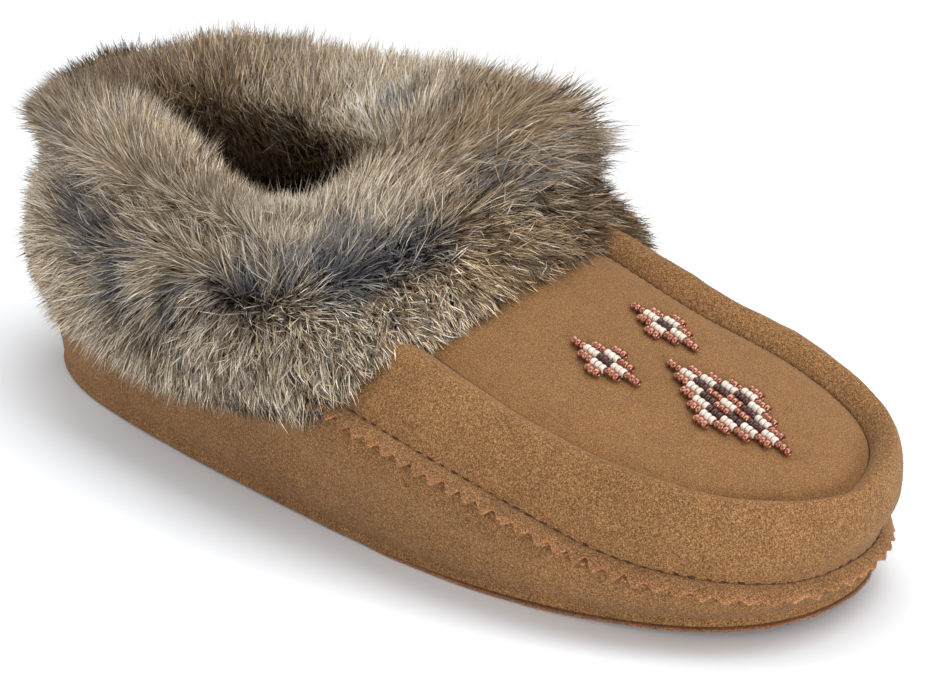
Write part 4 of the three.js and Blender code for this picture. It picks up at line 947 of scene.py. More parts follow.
def build_insole():
    n = 120
    t = 0.5 - 0.5 * np.cos(np.pi * np.linspace(0.02, 0.98, n))
    t = np.linspace(0.03, 0.97, n)
    inset = EDGE_IN + WALL + GAP + 0.4
    left = soleEdge(t / 2) - outward(soleEdge, t / 2) * inset
    right = soleEdge(1 - t / 2) - outward(soleEdge, 1 - t / 2) * inset
    wide = 28
    a = np.linspace(0, 1, wide + 1)
    g = left[:, None] + (right - left)[:, None] * a[None, :, None]
    x, y = g[..., 0], g[..., 1]
    rim = (2 * np.abs(a - 0.5))[None, :] ** 6
    base = SOLE + GAP
    top = base + INSOLE - 0.25 - 0.9 * rim + springAt(x)
    top = top - 0.8 * np.exp(-((x - 38) / 26) ** 2 - (y / 18) ** 2)        # heel cup
    top = top - 0.5 * np.exp(-((x - 190) / 26) ** 2 - (y / 26) ** 2)
    top = top + 0.12 * noise(np.stack([x, y, top], -1), 7, 61)
    low = base + 0.05 + springAt(x)
    loop = np.concatenate([np.stack([x, y, top], -1), np.stack([x, y, low], -1)[:, ::-1]], 1)
    M2 = loop.shape[1]
    faces = ring_faces(n, M2, True, False)
    caps = []
    for r in (0, n - 1):
        for j in range(wide):
            q = (r * M2 + j, r * M2 + j + 1, r * M2 + M2 - 2 - j, r * M2 + M2 - 1 - j)
            caps.append(q if r == 0 else q[::-1])
    o = make("footbed", loop, np.concatenate([faces, np.array(caps)]), [pile_mat()], ["insole"])
    return o


build_insole()


# ---------------------------------------------------------------- beads
def bead_mesh():
    """One seed bead along x: a rounded ring with a hole."""
    prof = [(0.0, 0.40), (-0.42, 0.42), (-0.62, 0.52), (-0.70, 0.72), (-0.60, 0.93), (-0.34, 1.06), (0.0, 1.10),
            (0.34, 1.06), (0.60, 0.93), (0.70, 0.72), (0.62, 0.52), (0.42, 0.42)]
    seg = 16
    ang = np.linspace(0, 2 * np.pi, seg, endpoint=False)
    v = np.array([[(x, r * math.cos(a), r * math.sin(a)) for x, r in prof] for a in ang]).reshape(-1, 3)
    return v, ring_faces(seg, len(prof))


def build_beads(name, cx, cy, reach, turn, rings):
    bv, bf = bead_mesh()
    c, s = math.cos(turn), math.sin(turn)
    vs, fs, mi, at = [], [], [], 0
    for i in range(-reach, reach + 1):
        for j in range(-reach, reach + 1):
            ring = abs(i) + abs(j)
            if ring > reach:
                continue
            kind = rings[ring]
            sag = 0.10 * RNG.uniform(-1, 1)
            for k in (-1, 0, 1):
                a = (i * 3 + k) * BEAD + 0.05 * RNG.uniform(-1, 1)
                b = j * BEAD_ROW + sag + 0.10 * RNG.uniform(-1, 1)
                x, y = cx + a * c - b * s, cy + a * s + b * c
                size = RNG.uniform(0.95, 1.03)
                e = 0.5
                dx = (vampUp(x + e, y) - vampUp(x - e, y)) / (2 * e)
                dy = (vampUp(x, y + e) - vampUp(x, y - e)) / (2 * e)
                nrm = unit(np.array([-dx, -dy, 1.0]))
                wob = RNG.uniform(-0.10, 0.10, 2)
                tx = unit(np.array([c - s * wob[0], s + c * wob[0], 0.0]) + np.array([0, 0, dx * c + dy * s + wob[1]]))
                ty = unit(np.cross(nrm, tx))
                if k == -1 and ring == reach:           # the first bead of a row stands on its edge and shows its hole
                    turn_up = RNG.uniform(0.55, 0.95)
                    tx = tx * math.cos(turn_up) - nrm * math.sin(turn_up)
                tz = np.cross(tx, ty)
                p = np.array([x, y, float(vampUp(x, y))]) + nrm * (1.02 + 0.05 * RNG.uniform(-1, 1))
                v = bv.copy()
                v[:, 0] *= RNG.uniform(0.94, 1.02)
                vs.append(p + size * (v[:, :1] * tx + v[:, 1:2] * ty + v[:, 2:3] * tz))
                fs.append(bf + at)
                mi.append(np.full(len(bf), {"copper": 0, "cream": 1, "dark": 2}[kind]))
                at += len(bv)
    return make(name + "_threaded", np.concatenate(vs), np.concatenate(fs), [M_COPPER, M_CREAM, M_DARK], [name],
                mat_index=np.concatenate(mi))


build_beads("beads_large", 219.0, 0.65, 4, -0.050, ["cream", "copper", "dark", "cream", "copper"])
build_beads("beads_small_lateral", 190.7, -9.26, 2, -0.036, ["dark", "cream", "copper"])
build_beads("beads_small_medial", 190.7, 11.07, 2, -0.038, ["dark", "cream", "copper"])


# ---------------------------------------------------------------- fur cuff surface
def body_samples():
    n = 220
    g = sections(np.arange(n) / n, [6, 8, 8, 8, 5], True)
    a = np.roll(g, -1, 0) - np.roll(g, 1, 0)
    j = np.arange(g.shape[1])
    b = g[:, np.minimum(j + 1, g.shape[1] - 1)] - g[:, np.maximum(j - 1, 0)]
    nn = unit(np.cross(a, b))
    pts, nrm = [g.reshape(-1, 3)], [nn.reshape(-1, 3)]
    extra = []
    for x in np.arange(THROAT, 190, 2.5):
        t = tOf(x)
        l, r = rimPlan(t / 2)[1] + 0.8, rimPlan(1 - t / 2)[1] - 0.8
        for y in np.arange(-32, 32.01, 2.5):
            if l <= y <= r:
                extra.append((x, y))
    extra = np.array(extra)
    x, y, e = extra[:, 0], extra[:, 1], 0.5
    dx = (vampUp(x + e, y) - vampUp(x - e, y)) / (2 * e)
    dy = (vampUp(x, y + e) - vampUp(x, y - e)) / (2 * e)
    pts.append(np.column_stack([x, y, vampUp(x, y)]))
    nrm.append(unit(np.column_stack([-dx, -dy, np.ones_like(dx)])))
    return np.concatenate(pts), np.concatenate(nrm)


def on_body(samples, q):
    sp, sn = samples
    d = ((q[:, None] - sp[None]) ** 2).sum(-1)
    idx = np.argpartition(d, 7, axis=1)[:, :7]
    r = np.arange(len(q))[:, None]
    dd = d[r, idx]
    w = 1 / (dd - dd.min(1, keepdims=True) + 1.5)
    w /= w.sum(1, keepdims=True)
    return (sp[idx] * w[..., None]).sum(1), unit((sn[idx] * w[..., None]).sum(1))


def evened(g, passes):
    for _ in range(passes):
        g = 0.25 * np.roll(g, 1, 0) + 0.5 * g + 0.25 * np.roll(g, -1, 0)
    return g


def cuff_sections():
    t0 = float(tOf(THROAT))
    u = np.arange(-90, 91) / 90 * t0 / 2
    line = np.column_stack([rimPlan(u), rimUp(u)])
    a, b = line[-1], line[0]
    q = np.arange(1, 30) / 30
    x, y = mix(a[0], b[0], q), mix(a[1], b[1], q)
    line = np.concatenate([line, np.column_stack([x, y, vampUp(x, y)])])
    closed = np.concatenate([line, line[:1]])
    run = np.concatenate([[0], np.cumsum(np.hypot(*np.diff(closed[:, :2], axis=0).T))])
    total = run[-1]

    def at(d):
        w = np.mod(d, total)
        return np.stack([np.interp(w, run, closed[:, k]) for k in range(3)], -1)

    def soft(d):
        s, n = 0, 0
        for k in range(-8, 9):
            w = 1 - abs(k) / 9
            s, n = s + at(d + k * 1.5) * w, n + w
        return s / n
    d = np.arange(CUFF_ROUND) / CUFF_ROUND * total
    p, a, b = soft(d), soft(d - 1.5), soft(d + 1.5)
    v = b - a
    n = unit(np.column_stack([v[:, 1], -v[:, 0]]))
    c0 = p[:, :2] - np.array(OPEN_CENTRE)
    n = np.where(((n * c0).sum(1) < 0)[:, None], -n, n)
    turn = np.degrees(np.arctan2(c0[:, 1], c0[:, 0]))
    turns = [r[0] for r in CUFF]
    c = {k: through(turns, [r[i] for r in CUFF])(turn) for i, k in enumerate(CUFF_KEYS) if i}
    samples = body_samples()
    low = np.column_stack([c["lowX"], c["lowY"], c["lowZ"]])
    alongs = [np.ones(CUFF_ROUND)] + [np.full(CUFF_ROUND, r[0]) for r in CUFF_DEPTH[::-1]] + [c["wall"], mix(c["wall"], 1, 0.5)]
    base = np.stack([on_body(samples, mix(p, low, w[:, None]))[0] for w in alongs], 1)
    base = evened(base, 4)
    lifted = []
    for j in range(len(alongs)):
        bp, bn = on_body(samples, base[:, j])
        part = CUFF_DEPTH[len(CUFF_DEPTH) - j][1] * c["deep"] if 0 < j <= len(CUFF_DEPTH) else np.full(CUFF_ROUND, -WALL / 2)
        ahead = CUFF_AHEAD[j] if j < len(CUFF_AHEAD) else 0
        lifted.append(bp + bn * part[:, None] + np.outer(c["lead"] * ahead, [1, 0, 0]))
    lifted = evened(np.stack(lifted, 1), 1)

    def put(o, z, ahead=1.0):
        return np.column_stack([p[:, :2] + n * o[:, None] + np.outer(c["lead"] * ahead, [1, 0]), z])
    tops = evened(np.stack([
        put(c["shoulderO"], c["shoulderZ"]),
        put(mix(c["ridgeO"], c["shoulderO"], 0.5), mix(c["ridgeZ"], c["shoulderZ"], 0.24)),
        put(c["ridgeO"] - 1.5, c["ridgeZ"]),
        put(mix(c["ridgeO"], -c["innerO"], 0.7), mix(c["ridgeZ"], c["innerZ"], 0.35), 0.45),
        put(-c["innerO"], c["innerZ"], 0),
        put(-mix(c["innerO"], c["hemO"], 0.5), mix(c["innerZ"], c["hemZ"], 0.5), 0),
        put(-c["hemO"], c["hemZ"], 0)], 1), 2)
    outer = len(CUFF_DEPTH) + 1
    k = outer - 1
    full = np.maximum(ramp(0, 5, c["lead"]), 0.7 * ramp(0, 30, turn) * (1 - ramp(120, 170, turn)))[:, None]
    lifted[:, k] = mix(lifted[:, k], (lifted[:, k - 1] + tops[:, 0]) / 2, full)
    return np.concatenate([lifted[:, :outer], tops, lifted[:, outer:]], 1), turn, samples


def catmull(p, q, axis, wrap):
    """p sampled at the integers along axis, read at q."""
    p = np.moveaxis(p, axis, 0)
    n = len(p)
    i = np.floor(q).astype(int)
    t = (q - i).reshape((-1,) + (1,) * (p.ndim - 1))

    def g(k):
        return p[np.mod(k, n)] if wrap else p[np.clip(k, 0, n - 1)]
    a, b, c, d = g(i - 1), g(i), g(i + 1), g(i + 2)
    r = 0.5 * (2 * b + (c - a) * t + (2 * a - 5 * b + 4 * c - d) * t * t + (3 * b - a - 3 * c + d) * t ** 3)
    return np.moveaxis(r, 0, axis)


SEC, TURN, BODY = cuff_sections()
NU, NV, VMAX = 300, 89, 11.0
_fine = catmull(SEC[:, :12], np.arange(NU) * CUFF_ROUND / NU, 0, True)
SURF = catmull(_fine, np.linspace(0, VMAX, NV), 1, False)          # outer surface of the solid
_tc = catmull(np.stack([np.cos(np.radians(TURN)), np.sin(np.radians(TURN))], 1), np.arange(NU) * CUFF_ROUND / NU, 0, True)
TURN_F = np.degrees(np.arctan2(_tc[:, 1], _tc[:, 0]))
N_SURF = grid_normals(SURF)
_c = SURF.mean((0, 1))
if (N_SURF[:, NV // 3] * (SURF[:, NV // 3] - _c)).sum() < 0:
    N_SURF = -N_SURF
for _ in range(6):
    N_SURF = unit(0.25 * np.roll(N_SURF, 1, 0) + 0.5 * N_SURF + 0.25 * np.roll(N_SURF, -1, 0))
    N_SURF[:, 1:-1] = unit(0.25 * N_SURF[:, :-2] + 0.5 * N_SURF[:, 1:-1] + 0.25 * N_SURF[:, 2:])
V_AT = np.linspace(0, VMAX, NV)
_heel = 1 - ramp(14, 62, SURF[..., 0])
_side = np.where(SURF[..., 1] < 0, 1.0, 0.25)
_thick = (11.0 * _heel * mix(_side, 1.0, 1 - ramp(6, 30, SURF[..., 0]))) * np.interp(V_AT, [0, 6.4, 7.4, 8.4, 10, 11], [0, 0, 0.55, 1, 0.9, 0.3])[None]
_inward = unit(np.array([60.0, 2.0, 0.0]) - SURF * np.array([1.0, 1.0, 0.0]))
SURF = SURF + _inward * _thick[..., None]
N_SURF = grid_normals(SURF)
if (N_SURF[:, NV // 3] * (SURF[:, NV // 3] - _c)).sum() < 0:
    N_SURF = -N_SURF
for _ in range(8):
    N_SURF = unit(0.25 * np.roll(N_SURF, 1, 0) + 0.5 * N_SURF + 0.25 * np.roll(N_SURF, -1, 0))
    N_SURF[:, 1:-1] = unit(0.25 * N_SURF[:, :-2] + 0.5 * N_SURF[:, 1:-1] + 0.25 * N_SURF[:, 2:])
ROOT_DEEP = np.interp(V_AT, [0, 1, 2, 3, 4, 5, 6, 7, 8, 9, 10, 11], [0.0, 1.4, 3.2, 4.5, 5.4, 5.4, 5.0, 4.5, 4.5, 4.0, 3.0, 1.3])
def near(x, y, z, r, p=None):
    """1 at a place of the cuff and 0 away from it."""
    p = SURF if p is None else p
    return np.exp(-((p[..., 0] - x) ** 2 + (p[..., 1] - y) ** 2 + (p[..., 2] - z) ** 2) / r ** 2)


# where the coat is sparse and lies close: heel, near rim beside the ankle, ridge of the far wing
FLAT = [
    (2, -14, 74, 13, 1.8, 0.40), (3, -23, 50, 13, 1.2, 0.30), (8, -29, 36, 13, 1.2, 0.32), (18, -33, 29, 11, 0.5, 0.35), (26, -36, 27, 10, 0.3, 0.30),
    (4, -2, 81, 12, 1.0, 0.28), (6, 10, 81, 12, 1.4, 0.28), (12, 17, 82, 10, 1.2, 0.28), (42, 29, 83, 10, 0.8, 0.20), (60, 34, 82, 12, 0.5, 0.10),
    (88, 42, 85, 13, 1.2, 0.30), (110, 42, 87, 15, 1.6, 0.34), (126, 40, 84, 11, 1.0, 0.20), (92, -31, 74, 20, 2.6, 0.42), (104, -24, 74, 14, 1.6, 0.20),
    (100, -54, 36, 13, 0.0, 0.38), (131, 42, 82, 9, 0.0, -0.85), (138, 43, 69, 8, 0.5, 0.36), (146, -36, 52, 14, 0.0, 0.28), (136, -50, 44, 12, 0.0, 0.24), (150, -8, 60, 14, 0.0, 0.28), (152, 18, 62, 14, 0.0, 0.24),
]
_more = sum(near(*f[:4]) * f[4] for f in FLAT)
ROOTS = SURF - N_SURF * (ROOT_DEEP[None] + _more * (ROOT_DEEP[None] / 6.0))[..., None]
T_UP = unit(np.gradient(SURF, axis=1))
T_ROUND = unit(np.roll(SURF, -1, 0) - np.roll(SURF, 1, 0))


def build_pelt():
    """The woolly skin under the hair: a closed band from lip to hem and back along the wall."""
    g = ROOTS.copy()
    lump = 0.9 * noise(g, 9, 71) + 0.5 * noise(g, 4, 72)
    fade = np.interp(V_AT, [0, 1.5, 9.5, 11], [0, 1, 1, 0])
    g += N_SURF * (lump * fade[None])[..., None]
    back = catmull(SEC[:, 11:14], np.arange(NU) * CUFF_ROUND / NU, 0, True)
    ring = np.concatenate([g[:, ::2], back[:, 1:]], 1)
    return make("cuff_pelt", ring, ring_faces(NU, ring.shape[1]), [M_PELT], ["fur_cuff"])


build_pelt()


# ---------------------------------------------------------------- hair
def bilinear(grid, iu, iv):
    """grid (NU, NV, ...) read at float places, wrapped round."""
    a, b = np.floor(iu).astype(int), np.minimum(np.floor(iv).astype(int), NV - 2)
    s, t = iu - a, iv - b
    a0, a1 = np.mod(a, NU), np.mod(a + 1, NU)
    ex = (slice(None),) + (None,) * (grid.ndim - 2)
    s, t = s[ex], t[ex]
    return (grid[a0, b] * (1 - s) * (1 - t) + grid[a1, b] * s * (1 - t)
            + grid[a0, b + 1] * (1 - s) * t + grid[a1, b + 1] * s * t)


def scatter(count, density):
    """Random places over the outer surface, by area and a density along v."""
    du = np.linalg.norm(np.roll(SURF, -1, 0) - SURF, axis=-1)[:, :-1]
    dv = np.linalg.norm(np.diff(SURF, axis=1), axis=-1)
    area = du * dv * density[None, :-1]
    flat = (area / area.sum()).ravel()
    pick = RNG.choice(len(flat), count, p=flat)
    iu = pick // (NV - 1) + RNG.random(count)
    iv = pick % (NV - 1) + RNG.random(count)
    return iu, iv


def nearest(points, centres):
    kd = KDTree(len(centres))
    for i, c in enumerate(centres):
        kd.insert(c, i)
    kd.balance()
    return np.array([kd.find(p)[1] for p in points])


def turned(v, axis, ang):
    c, s = np.cos(ang)[:, None], np.sin(ang)[:, None]
    return v * c + np.cross(axis, v) * s + axis * (axis * v).sum(1, keepdims=True) * (1 - c)


# Combing of the fur: a place on the cuff and the way the hair lies there.
# Below the parting it falls to the lip, above it goes up and over the rim.
COMB_LOW = [
    ((-8, 0, 45), (-1, 0, -0.35)), ((-6, 0, 57), (-1, 0, 0.1)), ((-2, -22, 45), (-1, -0.35, -0.5)), ((10, -29, 38), (-0.8, -0.3, -0.9)),
    ((22, -35, 50), (-1, -0.3, -0.25)), ((40, -43, 40), (-0.55, -0.2, -1)), ((45, -44, 52), (-0.8, -0.2, -0.4)), ((65, -49, 38), (-0.1, -0.2, -1)),
    ((65, -47, 52), (-0.35, -0.25, -0.7)), ((85, -51, 36), (0.15, -0.2, -1)), ((88, -50, 50), (0.1, -0.3, -0.8)), ((105, -54, 38), (0.6, -0.2, -1)),
    ((105, -51, 52), (0.55, -0.3, -0.8)), ((125, -54, 42), (1.2, -0.2, -1)), ((122, -50, 54), (1.2, -0.2, -0.7)), ((138, -51, 46), (1.9, -0.3, -1)),
    ((132, -42, 60), (1.4, -0.2, -0.6)), ((146, -36, 56), (1.6, -0.3, -1.3)), ((135, -27, 63), (1, -0.1, -0.45)), ((148, -20, 60), (1, -0.3, -0.75)),
    ((150, 0, 63), (1, -0.05, -0.55)), ((140, 0, 68), (1, 0.1, -0.25)), ((150, 18, 66), (1, 0.15, -0.4)), ((154, 30, 62), (1, 0.4, -0.45)),
    ((144, 22, 70), (1, 0.4, -0.1)), ((150, 42, 55), (0.8, 0.8, -0.4)), ((140, 50, 50), (0.6, 0.7, -0.6)), ((133, 48, 65), (0.7, 0.9, -0.2)),
    ((110, 53, 45), (0.3, 0.3, -1)), ((80, 48, 40), (0, 0.3, -1)), ((50, 42, 40), (-0.2, 0.3, -1)), ((20, 33, 40), (-0.5, 0.3, -1)),
    ((100, 50, 62), (0.3, 0.7, -0.5)), ((60, 43, 60), (0, 0.6, -0.7)), ((25, 35, 58), (-0.4, 0.5, -0.5)), ((2, 20, 45), (-1, 0.5, -0.6)),
]
COMB_HIGH = [
    ((-6, 0, 68), (-1, 0, 0.35)), ((-2, 0, 75), (-0.8, 0, 0.7)), ((6, 0, 77), (-0.7, 0, 0.8)), ((10, -22, 68), (-0.9, -0.5, 0.35)),
    ((12, -14, 76), (-0.8, -0.2, 0.7)), ((25, -33, 62), (-1, -0.15, 0.45)), ((28, -24, 76), (-0.5, 0.25, 0.8)), ((45, -37, 62), (-0.95, 0.1, 0.5)),
    ((45, -33, 72), (-0.55, 0.3, 0.75)), ((48, -22, 78), (-0.25, 0.45, 0.85)), ((34, -14, 78), (-0.3, 0.3, 0.9)), ((65, -40, 60), (-0.8, 0.15, 0.55)), ((65, -33, 72), (-0.5, 0.4, 0.7)), ((66, -24, 77), (-0.25, 0.55, 0.8)), ((85, -40, 60), (-0.7, 0.2, 0.65)),
    ((85, -33, 71), (-0.6, 0.55, 0.42)), ((90, -28, 75), (-0.55, 0.65, 0.3)), ((100, -40, 60), (-0.5, 0.3, 0.7)), ((103, -28, 72), (-0.45, 0.65, 0.4)), ((112, -33, 66), (-0.2, 0.45, 0.8)),
    ((110, -22, 72), (-0.25, 0.7, 0.5)), ((122, -23, 68), (0.1, 0.5, 0.8)), ((118, -10, 75), (0.0, 0.6, 0.75)), ((126, -7, 72), (0.3, 0.6, 0.75)),
    ((120, 0, 79), (0.2, 0.7, 0.7)), ((135, 8, 74), (0.5, 0.75, 0.35)), ((126, 10, 80), (0.4, 0.75, 0.5)), ((141, 25, 76), (0.85, 0.6, 0.05)),
    ((136, 26, 83), (0.7, 0.65, 0.15)), ((125, 22, 85), (0.5, 0.65, 0.35)), ((136, 38, 74), (0.9, 0.6, -0.05)), ((132, 36, 84), (0.78, 0.62, 0.08)),
    ((118, 36, 87), (0.6, 0.65, 0.28)), ((125, 46, 76), (0.5, 0.85, -0.1)), ((110, 45, 84), (0.4, 0.8, 0.28)), ((100, 49, 76), (0.3, 0.9, 0.1)),
    ((90, 48, 66), (0.0, 0.8, -0.4)), ((60, 43, 66), (-0.1, 0.9, -0.3)), ((60, 43, 75), (-0.1, 1, 0.2)), ((35, 37, 73), (-0.3, 0.9, 0.1)),
    ((12, 26, 72), (-0.7, 0.7, 0.1)), ((95, 36, 85), (0.05, 0.4, 0.9)), ((65, 32, 83), (-0.05, 0.35, 0.9)), ((40, 26, 82), (-0.2, 0.35, 0.85)),
    ((20, 15, 79), (-0.6, 0.4, 0.7)), ((90, 20, 70), (0.05, 0, 1)), ((60, 20, 65), (0.1, 0, 1)), ((70, 20, 52), (0.5, 0, 0.8)), ((40, 15, 60), (0.1, 0, 1)),
    ((15, 0, 63), (-0.2, 0, 1)), ((60, -18, 63), (-0.2, 0.1, 1)), ((90, -18, 62), (0, 0.1, 1)), ((105, 0, 62), (0.1, 0.1, 1)),
]


def combed(table, p, nrm):
    at = np.array([r[0] for r in table], float)
    way = unit(np.array([r[1] for r in table], float))
    d2 = ((p[:, None] - at[None]) ** 2).sum(-1)
    w = 1 / (d2 + 25.0) ** 2
    return unit((way[None] * w[..., None]).sum(1))


def parting(p):
    return 3.3 + 0.45 * noise(p, 19, 81) + 0.25 * noise(p, 8, 82)


def hair_dirs(root, nrm, v, lift0, lift1):
    """Start and end direction of each hair by where it grows; lifts are the least share off the skin."""
    flow = np.tanh((v - parting(root)) / 0.30)               # -1 down and out, +1 up and over
    d = unit(combed(COMB_LOW, root, nrm) * (0.5 - 0.5 * flow)[:, None] + combed(COMB_HIGH, root, nrm) * (0.5 + 0.5 * flow)[:, None] + 1e-4)
    mid_line = 1 - np.abs(flow)
    sway = 0.38 * noise(root, 24, 83) + 0.36 * noise(root, 10, 84)
    d = turned(d, nrm, sway)

    def off(least):
        return unit(d + nrm * np.maximum(0, least + 0.5 * mid_line - (d * nrm).sum(1))[:, None])
    return off(lift0), off(lift1), flow


# Colours along a hair from root to tip.
TONES = {
    "cream": [lin(96, 88, 82), lin(126, 112, 98), lin(184, 168, 145), lin(218, 204, 182), lin(205, 192, 172)],
    "tan":   [lin(84, 74, 66), lin(118, 98, 75), lin(163, 137, 103), lin(195, 169, 132), lin(150, 125, 97)],
    "brown": [lin(66, 54, 46), lin(95, 76, 57), lin(141, 115, 84), lin(170, 144, 109), lin(92, 72, 53)],
    "dark":  [lin(56, 50, 46), lin(72, 58, 46), lin(94, 74, 54), lin(80, 62, 46), lin(44, 34, 28)],
    "slate": [lin(82, 84, 90), lin(98, 99, 103), lin(120, 119, 120), lin(156, 150, 142), lin(186, 178, 166)],
    "w_warm":  [lin(96, 86, 78), lin(112, 100, 88), lin(132, 118, 102), lin(146, 131, 112), lin(154, 138, 118)],
    "w_tan":   [lin(92, 78, 62), lin(112, 94, 72), lin(136, 112, 82), lin(150, 124, 90), lin(156, 128, 92)],
    "w_brown": [lin(62, 50, 42), lin(78, 62, 48), lin(98, 78, 56), lin(112, 90, 64), lin(116, 92, 66)],
    "w_slate": [lin(66, 69, 76), lin(80, 83, 90), lin(98, 100, 106), lin(112, 112, 115), lin(122, 120, 118)],
}
GUARD = ["cream", "tan", "brown", "dark", "slate"]
WOOL = ["w_warm", "w_tan", "w_brown", "w_slate"]

# Patches where the grey-blue undercoat shows through thin guard hair: place, radius, strength.
BARE = [
    ((39, -36, 56), 8, 1.0), ((50, -41, 53), 7, 0.8), ((65, -46, 49), 8, 1.0), ((76, -49, 47), 5, 0.5), ((88, -51, 47), 7, 0.9), ((100, -49, 53), 6, 0.5),
    ((109, -46, 58), 7, 0.7), ((119, -42, 60), 6, 0.7), ((128, -36, 63), 9, 1.0), ((133, -25, 65), 8, 1.0), ((135, -15, 68), 8, 0.9), ((123, -28, 66), 7, 0.7),
    ((131, 8, 72), 6, 0.7), ((138, 18, 72), 7, 0.9), ((134, 36, 69), 7, 0.9), ((139, 28, 74), 6, 0.8), ((90, 22, 77), 6, 0.8), ((104, 26, 81), 5, 0.4),
    ((30, -30, 68), 6, 0.35), ((60, 43, 58), 12, 0.8), ((100, 51, 60), 12, 0.8), ((20, 33, 56), 10, 0.7), ((-8, 8, 58), 9, 0.6),
]
# Warmer, browner or paler places of the coat's own colour, with painted shade and painted light in the opening: place,
# radius, (cream, tan, brown, dark).
DYE_AND_PAINTED_LIGHT = [
    ((5, 0, 78), 20, (-0.3, 0.9, 0.35, 0.10)), ((20, -14, 77), 14, (-0.1, 0.7, 0.3, 0.05)), ((20, 20, 79), 16, (-0.4, 0.5, 0.9, 0.3)), ((45, 28, 82), 16, (-0.2, 0.6, 0.5, 0.15)),
    ((75, 32, 83), 18, (0.9, 0.1, -0.2, -0.1)), ((92, 22, 78), 14, (0.9, 0.0, -0.2, -0.1)), ((106, 30, 84), 12, (0.2, 0.4, 0.2, 0.0)), ((122, 26, 84), 14, (-0.3, 1.0, 0.5, 0.05)),
    ((132, 40, 82), 14, (-0.4, 1.0, 0.8, 0.1)), ((118, 5, 78), 12, (0.3, 0.8, 0.0, -0.1)), ((126, 14, 79), 10, (-0.1, 1.0, 0.3, 0.0)), ((105, -25, 73), 16, (0.9, 0.1, -0.3, -0.1)),
    ((113, -10, 74), 12, (0.9, 0.2, -0.3, -0.1)), ((85, -34, 70), 16, (0.5, 0.5, 0.0, 0.0)), ((60, -34, 71), 14, (0.1, 0.7, 0.3, 0.1)), ((148, -5, 63), 14, (-0.5, 0.5, 1.1, 0.35)),
    ((152, 22, 63), 15, (-0.6, 0.5, 1.3, 0.5)), ((148, 44, 58), 14, (-0.6, 0.4, 1.3, 0.6)), ((143, -28, 59), 10, (0.1, 0.4, 0.5, 0.1)), ((95, -53, 38), 20, (0.7, 0.1, 0.0, 0.0)),
    ((125, -54, 43), 14, (0.6, 0.3, -0.1, 0.0)), ((30, -41, 38), 16, (0.5, 0.2, 0.0, 0.1)), ((60, -49, 36), 14, (0.6, 0.1, 0.1, 0.1)), ((5, -26, 50), 12, (0.6, 0.3, 0.0, 0.0)),
    # painted shade: the dark brown spots low inside the opening; the cream and tan spots at (55, 19, 64) and (75, 20,
    # 60) are painted light on the far inner wall
    ((34, 10, 60), 13, (-0.7, 0.0, 1.0, 0.9)), ((46, 15, 53), 13, (-0.7, 0.1, 1.1, 0.9)), ((62, 15, 46), 15, (-0.7, 0.1, 1.1, 0.9)), ((85, 12, 46), 16, (-0.7, 0.1, 1.1, 0.9)),
    ((105, 2, 56), 12, (-0.6, 0.1, 1.0, 0.8)), ((55, 19, 64), 12, (0.4, 0.7, 0.0, 0.0)), ((75, 20, 60), 13, (0.3, 0.8, 0.1, 0.0)),
    ((0, -22, 38), 11, (-0.4, 0.0, 0.7, 0.9)), ((14, -33, 32), 9, (-0.4, 0.0, 0.6, 0.8)),
]


def bare_at(p):
    out = np.zeros(len(p))
    q = p + np.stack([noise(p, 7, 101 + k) for k in range(3)], -1) * 3.0
    for c, r, k in BARE:
        d = np.linalg.norm(q - np.array(c, float), axis=1) / r
        out = np.maximum(out, k * np.exp(-d ** 2.6))
    return out


def dye_and_painted_light_at(p):
    out = np.zeros((len(p), 4))
    for c, r, k in DYE_AND_PAINTED_LIGHT:
        d = np.linalg.norm(p - np.array(c, float), axis=1) / r
        out += np.exp(-d ** 2)[:, None] * np.array(k)
    return out


# Painted light and shade on the coat, with some of its own lighter and darker places: place, radius, factor.
SHADE = [
    ((26, -5, 79), 17, (0.42, 0.37, 0.32)), ((106, 30, 85), 12, (1.14, 1.13, 1.12)), ((6, 6, 78), 15, (0.74, 0.70, 0.67)), ((4, -20, 64), 13, (0.80, 0.82, 0.84)), ((92, -31, 74), 16, (0.88, 0.88, 0.88)), ((40, -28, 75), 18, (0.90, 0.90, 0.92)), ((130, 32, 84), 12, (0.88, 0.88, 0.90)),
    ((40, 17, 70), 13, (1.15, 1.17, 1.20)), ((66, 19, 68), 13, (1.30, 1.33, 1.37)), ((80, 20, 62), 13, (1.45, 1.48, 1.52)), ((45, 15, 54), 10, (1.30, 1.26, 1.22)),
    ((70, 19, 52), 11, (1.50, 1.45, 1.40)), ((94, 25, 79), 10, (1.13, 1.16, 1.18)), ((86, 19, 69), 11, (1.52, 1.52, 1.52)), ((138, 22, 74), 10, (1.15, 1.17, 1.20)), ((60, -48, 34), 14, (0.94, 0.94, 0.96)), ((74, -51, 37), 13, (0.76, 0.76, 0.73)),
    ((96, -53, 38), 13, (1.28, 1.28, 1.30)), ((124, -53, 43), 12, (1.34, 1.34, 1.34)), ((147, -36, 51), 12, (1.24, 1.24, 1.23)), ((148, -17, 58), 10, (1.30, 1.30, 1.30)), ((152, 32, 58), 14, (0.68, 0.68, 0.70)), ((12, -28, 48), 14, (0.92, 0.92, 0.93)),
]


def shade_at(p):
    out = np.zeros((len(p), 3))
    for c, r, k in SHADE:
        out += np.exp(-(np.linalg.norm(p - np.array(c, float), axis=1) / r) ** 2)[:, None] * np.log(np.array(k))
    return np.exp(out)


